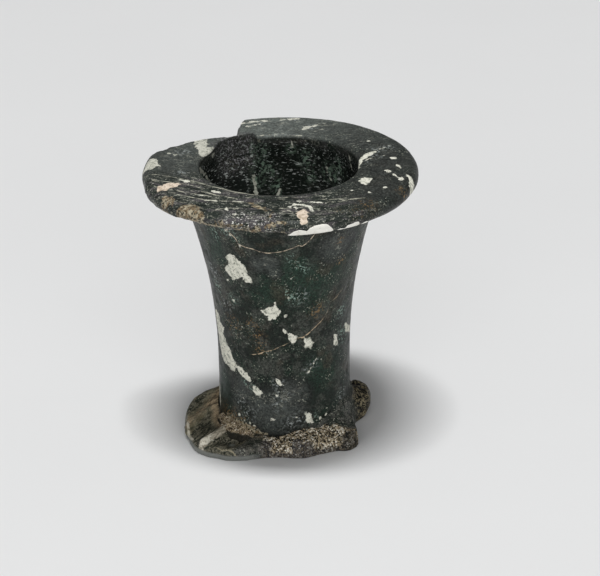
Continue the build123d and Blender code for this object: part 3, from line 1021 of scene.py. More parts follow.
# %% Forms of the foot
# Heights of the foot's top at each bearing: beside the tube, and at the outer edge
foot_level = np.array([
    (-270, 3.2, 2.4), (-215, 3.2, 2.6), (-200, 3.4, 2.4), (-190, 3.0, 2.0), (-180, 2.8, 1.7),
    (-170, 2.6, 1.4), (-160, 2.4, 1.2), (-150, 2.3, 1.1), (-140, 2.2, 1.1), (-130, 2.2, 1.2),
    (-122, 2.4, 1.6), (-114, 2.8, 2.1), (-105, 3.1, 2.3), (-97, 3.2, 2.0), (-90, 3.4, 1.9),
    (-82, 4.2, 2.2), (-74, 4.4, 2.3), (-62, 4.2, 2.2), (-52, 4.3, 2.4), (-44, 5.4, 2.9),
    (-36, 6.6, 3.2), (-28, 7.8, 3.6), (-20, 8.6, 3.7), (-10, 8.8, 3.6), (0, 8.4, 3.4),
    (12, 5.5, 3.0), (30, 3.2, 2.6), (90, 3.2, 2.4),
])
# Crests of the lobe: x, y and height along each, half width, and fall at that width
toe_line = [(-10.4, -8.0, 3.5), (-12.5, -10.0, 3.0), (-14.4, -11.8, 2.7)]
crests = {
    "upper ridge": ([(-10.6, 3.9, 5.4), (-14.0, 2.1, 5.0), (-16.0, 0.5, 4.5), (-17.3, -2.0, 3.8),
                     (-17.7, -4.2, 3.1)], 1.6, 1.8),
    "saddle": ([(-11.5, 1.4, 4.4), (-13.6, 0.0, 4.0), (-15.6, -1.9, 3.5), (-17.1, -4.0, 2.9)], 1.6, 1.0),
    "lower ridge": ([(-12.0, -1.2, 4.3), (-14.4, -2.8, 3.9), (-16.2, -4.6, 3.4),
                     (-17.5, -6.0, 2.8)], 0.9, 1.0),
    "toe": (toe_line, 0.95, 0.9),
    "brow": ([(-11.8, -13.2, 1.9), (-9.4, -14.2, 2.1), (-7.0, -14.0, 2.3)], 1.5, 0.7),
}
# Round forms in plan: x, y and the two half sizes, then how deep or high
hollow, hollow_depth = (-9.0, -11.0, 2.4, 1.3), 0.8
knob, knob_height = (13.3, 3.2, 2.5, 3.6), 5.0
bump, bump_height = (2.1, -14.4, 0.9, 0.9), 0.7
print("crests:", ", ".join(crests))

# %% The foot's height


def crest(points, line, half_width, fall):
    """A ridge along a line: the line's height, less a fall that grows with the square of the distance."""
    return np.max([
        start[2] + t * (end[2] - start[2]) - fall * (away / half_width) ** 2
        for start, end, t, away in runs(points[..., 0], points[..., 1], line)
    ], axis=0)


def soft_peak(first, second):
    """The higher of two heights, with the crease between them filled a little."""
    sharpness = 6.0
    return np.logaddexp(sharpness * first, sharpness * second) / sharpness


def oval_square(points, oval, grown=1.0):
    """The square of the distance in plan from an oval's middle, in shares of its two half sizes."""
    x, y, x_size, y_size = oval
    return ((points[..., 0] - x) / (grown * x_size)) ** 2 + ((points[..., 1] - y) / (grown * y_size)) ** 2


def oval_share(points, oval, grown=1.0):
    """A round share in plan: one in the oval's middle, fading with the square of the distance."""
    return np.exp(-oval_square(points, oval, grown))


def foot_grain(points):
    """How granular the foot is: wholly so on the front slab, up to the straight line of its break."""
    bearing = bearing_of(points) + 6.0 * noise(points, 2.0, 103)
    back = points[..., 1] + 0.3 * noise(points, 1.2, 107)
    behind_line = step(back, -10.0, -9.5) * step(bearing, -70.0, -58.0)
    return band(bearing, -116.0, -100.0, -30.0, -15.0) * (1.0 - behind_line)


def foot_height(points):
    """The height of the foot's top over the plan, in millimetres."""
    bearing = bearing_of(points)
    outward = np.clip((radius_of(points) - tube_radius) / (foot_reach(bearing) - tube_radius), 0.0, 1.0)
    beside, at_edge = (follow(foot_level, bearing, column) for column in (1, 2))
    flat = points * np.array([1.0, 1.0, 0.0])
    left_sag = 0.6 * band(-bearing, 116.0, 126.0, 185.0, 200.0)
    right_sag = 2.4 * band(bearing, -56.0, -30.0, 6.0, 20.0)
    height = at_edge + (beside - at_edge) * (1.0 - outward) ** (1.0 + left_sag + right_sag)
    height = height - hollow_depth * oval_share(points, hollow)
    for ridge in crests.values():
        height = soft_peak(height, crest(points, *ridge))
    height = height + 0.16 * fractal(flat, 2.6, 3, 101)
    height = height + 0.34 * foot_grain(points) * fractal(flat, 1.1, 3, 105)
    knob_top = knob_height - 0.1 + 0.45 * fractal(flat, 1.5, 3, 109)
    height = height + np.maximum(knob_top - height, 0.0) * np.exp(-(oval_square(points, knob) ** 2))
    return height + bump_height * oval_share(points, bump)


print("height at the toe:", foot_height(np.array(toe_line)).round(1))

# %% Build the foot
foot_bearing = full_turn(720)
foot_edge = foot_reach(foot_bearing)
left_skirt = band(-foot_bearing, 104.0, 114.0, 164.0, 176.0)
knob_skirt = band(foot_bearing, -8.0, 4.0, 28.0, 40.0)
skirt_height = 0.3 + 0.65 * left_skirt + 3.2 * knob_skirt
skirt_width = 0.2 + 2.2 * knob_skirt
tip_bulge = 0.6 * hump(foot_bearing + 160.0, 5.0)
body_edge = foot_edge - 0.35 * left_skirt + tip_bulge
side_width = np.minimum(0.6, 0.35 * (body_edge - socket_radius))
foot_under = turned(foot_bearing, down(0.0, 0.3, 0.55, 0.75, 0.88, 0.96) * (foot_edge - skirt_width), 0.0)
# The skirt rises to this share of its height at its outer edge, and the rest on the ledge above it
skirt_share = 0.7
skirt_turn = np.linspace(-np.pi / 2, 0.0, 10)[:-1, None]
skirt = turned(
    foot_bearing, foot_edge - skirt_width * (1 - np.cos(skirt_turn)),
    skirt_share * skirt_height * (1 + np.sin(skirt_turn)),
)
ledge_out = shares(6)[:-1]
ledge = turned(
    foot_bearing, foot_edge + ledge_out * (body_edge - foot_edge),
    skirt_height * (skirt_share + (1.0 - skirt_share) * np.sqrt(ledge_out)),
)
side_turn = np.linspace(0.0, np.pi / 2, 22)[:-1, None]
side_radius = body_edge - side_width * (1 - np.cos(side_turn))
side_top = foot_height(turned(foot_bearing, side_radius, 0.0))
side = turned(foot_bearing, side_radius, skirt_height + (side_top - skirt_height) * np.sin(side_turn))
plan_radius = body_edge - side_width + shares(66) * (socket_radius - body_edge + side_width)
foot_top = turned(foot_bearing, plan_radius, foot_height(turned(foot_bearing, plan_radius, 0.0)))
socket_height = down(0.6, 0.25) * (foot_top[-1:, :, 2] - socket_floor) + socket_floor
socket = turned(foot_bearing, socket_radius, socket_height)
foot_socket = turned(foot_bearing, down(1.0, 0.8, 0.5, 0.25, 0.0) * socket_radius, socket_floor)
foot_points = np.concatenate([foot_under, skirt, ledge, side, foot_top, socket, foot_socket])
print(f"foot's top from {foot_top[..., 2].min():.1f} to {foot_top[..., 2].max():.1f} mm")

# %% Mark the foot
slab_end = (11.9, -12.4, 2.1, 2.1)
slab_spots = [(-4.2, -13.8, 1.7, 1.1), (4.4, -14.7, 1.5, 0.9), slab_end, bump]
toe_end = (toe_line[-1][0] + 0.4, toe_line[-1][1] + 0.4, 1.5, 1.5)
tip_line = [(-17.4, -5.6), (-17.2, -7.4), (-16.5, -9.0)]
tan_line = [(-12.4, -13.2), (-11.2, -14.1), (-9.8, -14.6), (-8.4, -15.1)]
hair_length = 5.0
foot_x, foot_y, foot_z = np.moveaxis(foot_points, -1, 0)


def near(line, full, gone):
    """A share near a line in plan: one closer than the first distance, none past the second."""
    return 1.0 - step(line_away(foot_x, foot_y, line), full, gone)


in_lobe = 1.0 - step(bearing_of(foot_points), -126.0, -120.0)
# How far a point lies behind the lower ridge's crest, which runs along three fifths x and four fifths y
behind_crest = 0.6 * (foot_y + 2.6) - 0.8 * (foot_x + 14.4)
# How far a point lies in front of the toe, square to its line
before_toe = 0.69 * (foot_x + 12.5) - 0.72 * (foot_y + 10.0)
beside_tube = 1.0 - step(radius_of(foot_points), 12.6, 15.0)
before_back = 1.0 - step(foot_y, 0.5, 2.5)
brown_slope = hump(behind_crest - 0.5, 1.0) * in_lobe * step(foot_z, 1.6, 2.4)
# The dark flank, face and front are painted shade: the sides of the ridges turned from the light, and the
# shadow before the toe under the cake's brim
dark_flank = hump(behind_crest - 2.4, 0.7) * (1.0 - step(foot_x, -15.0, -13.0))
dark_face = step(-behind_crest, 0.5, 1.0) * (1.0 - 0.8 * beside_tube)
dark_front = step(before_toe, 0.6, 1.5)
foot_fields = {
    "grain": foot_grain(foot_points),
    "slope": np.maximum(brown_slope * (0.7 + 0.5 * beside_tube), 0.9 * beside_tube * in_lobe * before_back),
    "shade": np.max([dark_flank, dark_face, dark_front], axis=0) * in_lobe,
    "lobe": in_lobe,
    "toe": near(toe_line, 0.45, 1.25) * in_lobe,
    "toe_tip": oval_share(foot_points, toe_end),
    "tan_line": near(tan_line, 0.0, 0.16),
    "tip": near(tip_line, 0.05, 0.45),
    "spots": np.max([oval_share(foot_points, spot) for spot in slab_spots], axis=0),
    "slab_end": oval_share(foot_points, slab_end, 1.5),
    "glint": oval_share(foot_points, bump),
    "knob": oval_share(foot_points, knob),
    "skirt": (1.0 - step(foot_z, 0.80, 1.0)) * left_skirt,
    "hair_along": (0.6 * foot_x + 0.8 * foot_y) / hair_length * MM,
    "hair_across": behind_crest * MM,
}
foot = skin("broken_foot", foot_points, True, foot_fields)

# %% [markdown]
# ## The bed of the foot
# The tube stands in the foot's shallow socket in a bed of paste and earth, a cup under the tube's end.
# Round the back it lies a little low, which leaves a crevice, painted dark as painted shade. At the
# right it is smoothed up level with the foot and toned like the tube. At the front left it spreads over
# the foot as a flat cake of brown earth with a low lip, painted dark beneath it as painted shade. Its
# width and heights change all the way round, so a turned ring would not do, and tables by bearing give
# them.

# %% Build the foot's bed
# The cake at each bearing: how far it reaches over the foot, and its height at the tube and at its brim
cake_reach = np.array([
    (-176, 0.0), (-166, 0.3), (-156, 0.9), (-148, 1.4), (-140, 1.7), (-132, 1.5), (-125, 1.0), (-119, 0.4),
    (-113, 0.0),
])
cake_height = np.array([(-176, 3.9), (-150, 3.8), (-134, 3.8), (-122, 3.5), (-112, 3.2), (-103, 3.1)])
cake_brim = np.array([
    (-176, 3.2), (-150, 3.0), (-138, 3.0), (-128, 3.0), (-120, 2.95), (-112, 2.9), (-103, 2.8),
])
crevice_depth = 0.2
# The bed's faces keep this far clear of the socket, and reach this far into the tube's wall
clear, sunk = 0.02, 0.12

bed_bearing = full_turn(420)
cake_swell = follow(cake_reach, bed_bearing)
wander = 0.45 * fractal(turned(bed_bearing, socket_radius, 0.0), 1.6, 3, 111)
cake = step(cake_swell, 0.05, 0.7)
smoothed = band(bed_bearing, -76.0, -60.0, 10.0, 24.0)
sunk_radius = tube_radius - sunk
cup_radius = socket_radius - clear
bead_radius = cup_radius + cake_swell * (1.0 + wander)
under_bead = foot_height(turned(bed_bearing, bead_radius, 0.0))
bead_toe = under_bead - 0.15 * cake - crevice_depth * (1.0 - cake) * (1.0 - smoothed)
cake_over = np.maximum(follow(cake_height, bed_bearing) - bead_toe, 0.3)
bead_top = bead_toe + 0.1 + 0.9 * smoothed + cake * cake_over
bead_brim = bead_toe + 0.05 + cake * np.maximum(follow(cake_brim, bed_bearing) - bead_toe, 0.1)
inward = shares(40) ** 1.5
brim_share = np.sqrt(np.clip(inward / 0.08, 0.0, 1.0))
bead_up = bead_toe + (bead_brim - bead_toe) * brim_share + (bead_top - bead_brim) * inward
bead = turned(bed_bearing, bead_radius + (sunk_radius - bead_radius) * inward, bead_up)
bead[..., 2] += 0.14 * fractal(bead, 0.9, 3, 113) * np.sin(np.pi * inward) * cake
cup = turned(bed_bearing, down(0.0, 0.4, 0.75, 0.95, 1.0) * cup_radius, socket_floor + clear)
cup_side = turned(bed_bearing, cup_radius, socket_floor + down(0.4, 0.8) * (bead_toe - socket_floor))
inner_side = turned(bed_bearing, sunk_radius, tube_foot + down(0.6, 0.25) * (bead_top - tube_foot))
tube_seat = turned(bed_bearing, down(1.0, 0.8, 0.5, 0.25, 0.0) * sunk_radius, tube_foot - clear)
bed_points = np.concatenate([cup, cup_side, bead, inner_side, tube_seat])
bed_shade = np.ones(bed_points.shape[:2])
bead_start = len(cup) + len(cup_side)
# Under the cake's brim, and all round where there is no cake, the bead takes painted shade
below_brim = 1.0 - step(bead_up, bead_brim - 0.3, bead_brim - 0.02)
bed_shade[bead_start : bead_start + len(bead)] = np.maximum(below_brim, 1.0 - cake)
bed_piece = skin("foot_earth_bed", bed_points, True, {"low": bed_shade, "web": smoothed})

# %% [markdown]
# ## Finishes
# A material here is a small tree of nodes that reads the point's place on the object and the fields that
# the skins carry. The two classes below only shorten the writing: a signal is what one node gives at
# each point, and sums of signals are written as plain arithmetic. A finish keeps its colour so far, and
# each layer lays a tone over it by a share. Sizes are in millimetres, as in the shapes.

# %% Signals


class Signal:
    """A number or a colour at each point of a surface: one output of a node in a finish's tree."""

    def __init__(self, finish, socket):
        self.finish = finish
        self.socket = socket

    def math(self, operation, other=0.0):
        """This number joined to another by an operation of the math node."""
        return self.finish.signal("ShaderNodeMath", "Value", {0: self, 1: other}, operation=operation)

    def __add__(self, other):
        return self.math("ADD", other)

    def __sub__(self, other):
        return self.math("SUBTRACT", other)

    def __mul__(self, other):
        return self.math("MULTIPLY", other)

    def window(self, low, high, to_low=0.0, to_high=1.0):
        """A smooth step of this number, from one value where it is low to another where it is high."""
        inputs = dict(enumerate((self, low, high, to_low, to_high)))
        return self.finish.signal("ShaderNodeMapRange", "Result", inputs, interpolation_type="SMOOTHSTEP")

    def blend(self, under, over):
        """One colour laid over another, with this number as its share."""
        return self.finish.mix("MIX", self, under, over)

    def tinted(self, other):
        """This colour or number times another one."""
        return self.finish.mix("MULTIPLY", 1.0, self, other)


print("signals add, subtract and multiply")

# %% A finish under construction


class Finish:
    """One material under construction, with its Principled shader and Object coordinates at hand."""

    def __init__(self, name, shine=0.5):
        self.material = bpy.data.materials.new(name)
        self.material.use_nodes = True
        self.tree = self.material.node_tree
        self.shader = self.tree.nodes["Principled BSDF"]
        self.shader.inputs["Specular IOR Level"].default_value = shine
        self.place = self.signal("ShaderNodeTexCoord", "Object")
        self.colour = None

    def feed(self, socket, value):
        """Links a signal to a socket, or sets the socket's own number or colour."""
        if isinstance(value, Signal):
            self.tree.links.new(value.socket, socket)
        else:
            socket.default_value = (*value, 1.0) if isinstance(value, tuple) else value

    def signal(self, kind, output, inputs=None, **settings):
        """A new node with some settings and inputs, and the signal of one of its outputs."""
        node = self.tree.nodes.new(kind)
        for name, value in settings.items():
            setattr(node, name, value)
        for socket, value in (inputs or {}).items():
            self.feed(node.inputs[socket], value)
        return Signal(self, node.outputs[output])

    def mix(self, mode, share, under, over):
        """Two colours mixed by a share, in the mix node's sockets for colours."""
        inputs = {"Factor": share, 6: under, 7: over}
        return self.signal("ShaderNodeMix", 2, inputs, data_type="RGBA", blend_type=mode)

    def field(self, name):
        """A number that the skin carries at each point."""
        return self.signal("ShaderNodeAttribute", "Fac", attribute_name=name)

    def height(self):
        """The point's height above the floor, in metres."""
        return self.signal("ShaderNodeSeparateXYZ", "Z", {"Vector": self.place})

    def drawn(self, along, across):
        """Places drawn out along the first of two fields, with the height as the third number."""
        inputs = {"X": self.field(along), "Y": self.field(across), "Z": self.height()}
        return self.signal("ShaderNodeCombineXYZ", "Vector", inputs)

    def noise(self, size, detail=3.0, place=None, harsh=0.55):
        """Noise from 0 to 1 whose largest features have this size."""
        inputs = {"Vector": place or self.place, "Scale": 1.0 / (size * MM)}
        inputs |= {"Detail": detail, "Roughness": harsh}
        return self.signal("ShaderNodeTexNoise", "Fac", inputs)

    def grains(self, size):
        """Distance to the nearest of scattered points, in shares of their spacing, and a number for each."""
        inputs = {"Vector": self.place, "Scale": 1.0 / (size * MM)}
        distance = self.signal("ShaderNodeTexVoronoi", "Distance", inputs)
        colour = Signal(self, distance.socket.node.outputs["Color"])
        return distance, self.signal("ShaderNodeSeparateColor", "Red", {"Color": colour})

    def specks(self, size, radius, chosen):
        """Scattered dots: a share of the points, each with a soft edge at this share of their spacing."""
        distance, number = self.grains(size)
        return distance.window(radius, radius * 0.5) * number.window(1.0 - chosen, 1.0 - chosen + 0.02)

    def lay(self, share, tone):
        """Lays a tone over the colour so far, by a share."""
        self.colour = share.blend(self.colour, tone)

    def dress(self, rough, heights):
        """Joins the colour and a roughness to the shader, and bumps of (height, depth in mm)."""
        self.feed(self.shader.inputs["Base Color"], self.colour)
        self.feed(self.shader.inputs["Roughness"], rough)
        before = {}
        for height, depth in heights:
            inputs = {"Strength": 1.0, "Distance": depth * MM, "Height": height, **before}
            before = {"Normal": self.signal("ShaderNodeBump", "Normal", inputs)}
        self.feed(self.shader.inputs["Normal"], before["Normal"])
        return self.material


print("finishes can be laid and dressed")

# %% [markdown]
# ## Dark faience
# The body is near black, with green and purple-grey clouds, brown in places, and full of fine pale
# flecks. The cream patches come from the skins' fields: their distance is bent by noise, so
# that the edges are ragged. The rim's front adds tan streaks, and the rim's top a worn grey that is
# partly painted sheen. The mouth's inside is painted nearly black and darker downwards, as painted
# shade, with painted glints.
# Noise in the object's own space was chosen over images, because it has no seams.

# %% The ground and the flecks of the faience
fleck_clouds = [
    ("teal", 0.46, (0.33, 0.48, 0.40)), ("rust", 0.40, (0.30, 0.185, 0.08)),
    ("haze", 0.46, (0.36, 0.39, 0.38)),
]


def dark_ground(finish, veil):
    """Near black with green, grey and brown clouds, a worn grey with painted sheen on the rim, all broken up
    by a fine grain.
    """
    cloud = finish.noise(4.0, 5.0, harsh=0.6).window(0.46, 0.55)
    green = finish.noise(3.0, 4.0, harsh=0.6).window(0.46, 0.64) * 0.4 + finish.field("green")
    brown = finish.noise(3.7, 4.0, harsh=0.6).window(0.54, 0.68)
    finish.colour = cloud.blend((0.007, 0.011, 0.008), (0.036, 0.039, 0.033))
    finish.lay(green.math("MINIMUM", 0.85), (0.008, 0.023, 0.014))
    finish.lay(brown * 0.5, (0.040, 0.031, 0.020))
    # The veil lays grey on the ground: dust on the tube, and on the rim's top a worn grey that is partly
    # painted sheen
    worn = veil * finish.noise(0.9, 4.0, harsh=0.65).window(0.3, 0.7, 0.7, 1.3)
    finish.lay(veil.window(0.0, 0.02) * 0.75, worn.tinted((0.95, 1.06, 0.98)))
    grain = finish.noise(0.35, 3.0, harsh=0.7)
    darkest = veil.window(0.02, 0.07, 0.34, 0.58)
    palest = veil.window(0.02, 0.07, 2.2, 1.5)
    finish.colour = finish.colour.tinted(grain.window(0.32, 0.70, darkest, palest))
    return grain


def flecked(finish):
    """Fine pale flecks in drifts, a few larger dots, and clouds of teal, rust and grey flecks."""
    drift = finish.noise(3.0, 4.0).window(0.47, 0.64, 0.08, 1.0)
    fleck = finish.noise(0.30, 2.0, harsh=0.6).window(0.61, 0.68)
    fleck_tone = finish.noise(1.7).blend((0.36, 0.42, 0.36), (0.50, 0.46, 0.36))
    finish.lay(fleck * drift * 0.85, fleck_tone)
    finish.lay(finish.specks(1.7, 0.12, 0.3) * drift * 0.8, (0.60, 0.59, 0.51))
    for name, size, tone in fleck_clouds:
        cloud = finish.noise(size, 3.0, harsh=0.65).window(0.53, 0.62)
        finish.lay(cloud * finish.field(name) * 0.9, tone)


def streaked(finish, flow, veil):
    """The rim's front: purple-grey and green lenses, thin pale veins and tan flecks along the streaks."""
    front = finish.field("streak")
    lens = finish.field("lens")
    moss = finish.noise(1.0, 3.0, flow).blend((0.010, 0.019, 0.014), (0.052, 0.060, 0.052))
    finish.lay(front * 0.6, moss)
    purple = finish.noise(1.4, 4.0, flow).window(0.52, 0.62)
    finish.lay(purple * front * 0.7, (0.085, 0.076, 0.082))
    patchy = finish.noise(2.4, 3.0).window(0.42, 0.58)
    fleck = finish.noise(0.42, 4.0, flow, 0.65).window(0.585, 0.65) * patchy
    fleck_tone = finish.noise(1.3).blend((0.62, 0.66, 0.56), (0.66, 0.58, 0.44))
    finish.lay(fleck * front * 0.62, fleck_tone)
    grit = finish.noise(0.32, 3.0, harsh=0.65).window(0.60, 0.67)
    finish.lay(grit * front * 0.8, (0.58, 0.58, 0.50))
    pit = finish.noise(0.55, 3.0, flow, 0.65).window(0.46, 0.39)
    finish.lay(pit * front * 0.9, (0.005, 0.009, 0.006))
    zone = lens * finish.noise(1.5, 3.0).window(0.46, 0.54)
    finish.lay(zone * 0.8, (0.080, 0.073, 0.078))
    sugar = finish.noise(0.36, 3.0, harsh=0.65).window(0.58, 0.64)
    finish.lay(sugar * lens * 0.9, (0.78, 0.77, 0.72))
    contour = (finish.noise(1.5, 3.0, flow) - 0.5).math("ABSOLUTE")
    vein = contour.window(0.012, 0.003) * finish.noise(1.8).window(0.46, 0.58)
    share = front.math("MAXIMUM", veil.window(0.0, 0.1))
    finish.lay(vein * share * 0.7, (0.42, 0.42, 0.35))


print(len(fleck_clouds), "colours of flecks")

# %% The inside of the mouth


def broken_inside(finish, flow, inside):
    """The lip's rough break and the inside in painted shade: crumbs and painted glints fade downwards, and
    moss.
    """
    broken = finish.field("broken")
    # The break's crumbs are painted fainter lower down, and the dark of the inside stronger: painted shade
    lit_break = broken * finish.height().window(41.0 * MM, 46.5 * MM, 0.15, 1.0)
    rough_tone = finish.noise(1.2, 3.0).blend((0.034, 0.029, 0.030), (0.016, 0.020, 0.017))
    finish.lay(broken * 0.7, rough_tone)
    crumb = finish.noise(0.36, 3.0, harsh=0.7).window(0.52, 0.66)
    finish.lay(crumb * lit_break * 0.75, (0.40, 0.39, 0.41))
    # The inside is painted near black, and the break less so: painted shade of the bore
    bore_shade = inside * lit_break.window(0.0, 1.0, 0.9, 0.15)
    finish.lay(bore_shade, (0.002, 0.005, 0.003))
    glint = finish.noise(0.30, 3.0, flow, 0.65).window(0.57, 0.66)
    glint_tone = finish.noise(2.0).blend((0.46, 0.56, 0.49), (0.49, 0.46, 0.47))
    # The glints are painted highlights, and they fade downwards as painted shade
    high_up = finish.height().window(43.0 * MM, 38.0 * MM, 1.0, 0.12)
    finish.lay(glint * inside * high_up * 0.8, glint_tone)
    moss = finish.noise(0.6, 3.0, harsh=0.65).window(0.46, 0.58) * finish.field("teal") * inside
    finish.lay(moss * 0.85, (0.20, 0.28, 0.21))


print("the inside darkens downwards")

# %% The marks and the whole faience


def marked(finish, inside, veil):
    """Cream and pink patches, thin veins, crusts and the crack, each with an edge made ragged by noise.

    Gives the share of cream, the share of cream or pink, and the height of the crusts.
    """
    ragged = finish.noise(1.1, 4.0, harsh=0.62) - 0.5
    # The cream is dimmer and more ragged under the veil: the tube's dust, and the rim's worn grey with its
    # painted sheen
    veiled = veil.window(0.03, 0.08)
    bend = ragged * veiled.window(0.0, 1.0, 1.6, 3.0)
    mottle = finish.noise(0.9, 3.0, harsh=0.6).window(0.45, 0.68)
    pitted = finish.noise(0.42, 3.0, harsh=0.65).window(0.56, 0.65)
    cream_tone = mottle.blend((0.82, 0.81, 0.70), (0.47, 0.48, 0.40))
    cream_tone = (pitted * 0.85).blend(cream_tone, (0.12, 0.13, 0.10))
    # Inside the mouth the cream is painted darker: painted shade
    cream_tone = (inside * 0.45).blend(cream_tone, (0.12, 0.15, 0.11))
    cream = (finish.field("pale") + bend).window(-0.05, 0.10)
    finish.lay(cream * veiled.window(0.0, 1.0, 1.0, 0.74), cream_tone)
    fade = finish.noise(1.3, 3.0).window(0.34, 0.54, 0.25, 0.95)
    vein = (finish.field("vein") + ragged * 0.5).window(-0.07, 0.03)
    finish.lay(vein * fade, (0.52, 0.51, 0.41))
    pink_tone = mottle.blend((0.81, 0.69, 0.56), (0.52, 0.42, 0.31))
    pink_tone = (pitted * 0.7).blend(pink_tone, (0.20, 0.15, 0.11))
    pink = (finish.field("pink") + bend).window(-0.06, 0.10)
    finish.lay(pink, pink_tone)
    lump = finish.noise(0.36, 4.0, harsh=0.7)
    crust_tone = finish.noise(0.7, 3.0).window(0.40, 0.60).blend((0.24, 0.175, 0.10), (0.52, 0.46, 0.33))
    crust_tone = lump.window(0.52, 0.42).blend(crust_tone, (0.024, 0.026, 0.018))
    crust = (finish.field("crust") + bend * 2.0).window(-0.15, 0.25)
    finish.lay(crust * 0.95, crust_tone)
    width = finish.noise(1.1, 3.0).window(0.35, 0.65, -0.02, 0.09)
    offset = (finish.field("crack") + ragged * 0.5).math("ABSOLUTE")
    crack = (offset - width).window(0.05, -0.03) * finish.field("crack_reach")
    finish.lay(crack, (0.58, 0.45, 0.30))
    return cream, cream.math("MAXIMUM", pink), lump * crust


def dark_faience():
    """The polished dark body with its clouds, flecks, cream patches, crack and streaks."""
    finish = Finish("dark_faience", 0.18)
    veil = finish.field("veil")
    inside = finish.field("inside")
    flow = finish.drawn("along", "across")
    grain = dark_ground(finish, veil)
    flecked(finish)
    streaked(finish, flow, veil)
    broken_inside(finish, flow, inside)
    cream, pale, lumps = marked(finish, inside, veil)
    rough = finish.noise(1.6, 3.0).window(0.3, 0.7, 0.36, 0.52)
    rough = pale.window(0.0, 1.0, rough, 0.62)
    rough = inside.window(0.0, 1.0, rough, 0.95)
    waves = finish.noise(1.4, 3.0)
    return finish.dress(rough, [(grain, 0.03), (waves, 0.05), (cream, 0.04), (lumps, 0.25)])


faience = dark_faience()
seat(tube, "body_tube", faience)
seat(sherd, "neck_sherd", faience)
seat(rim, "rim_collar", faience)
print("dark faience on the tube, the sherd and the rim")

# %% [markdown]
# ## The broken foot
# The foot is the same dark body, broken and worn: tan grains over brown on the slab, olive and hairy
# brown on the lobe, green-black in its shaded faces and beside the tube, and cream along the toe and
# the tip of a ridge. Each form could have its own material, but fields that say where the forms lie
# let one material blend them.

# %% The foot's finish


def worn_slab(finish, ragged, level, fine):
    """The granular break of the slab: grains from brown to white, dark places, a dark low edge that is partly
    painted shade, a glint.
    """
    broken = level.window(0.18, 0.34).blend((0.016, 0.015, 0.011), (0.16, 0.130, 0.085))
    broken = level.window(0.46, 0.60).blend(broken, (0.48, 0.395, 0.265))
    broken = level.window(0.78, 0.93).blend(broken, (0.95, 0.90, 0.78))
    spots = (finish.field("spots") + ragged * 0.6).window(0.22, 0.52) * 0.8
    # Darker towards the floor: the slab's own purple-grey, and painted shade at its lower edge
    low_plum_and_shade = (finish.height() + ragged * (0.6 * MM)).window(1.5 * MM, 0.7 * MM) * 0.75
    worn_and_shade_tone = finish.field("slab_end").blend((0.045, 0.043, 0.044), (0.016, 0.017, 0.015))
    worn_and_shade_tone = fine.window(0.60, 0.67).blend(worn_and_shade_tone, (0.60, 0.59, 0.56))
    broken = low_plum_and_shade.math("MAXIMUM", spots).blend(broken, worn_and_shade_tone)
    shine = finish.field("glint") * finish.noise(0.3, 2.0).window(0.66, 0.70)
    return shine.blend(broken, (0.80, 0.80, 0.78))


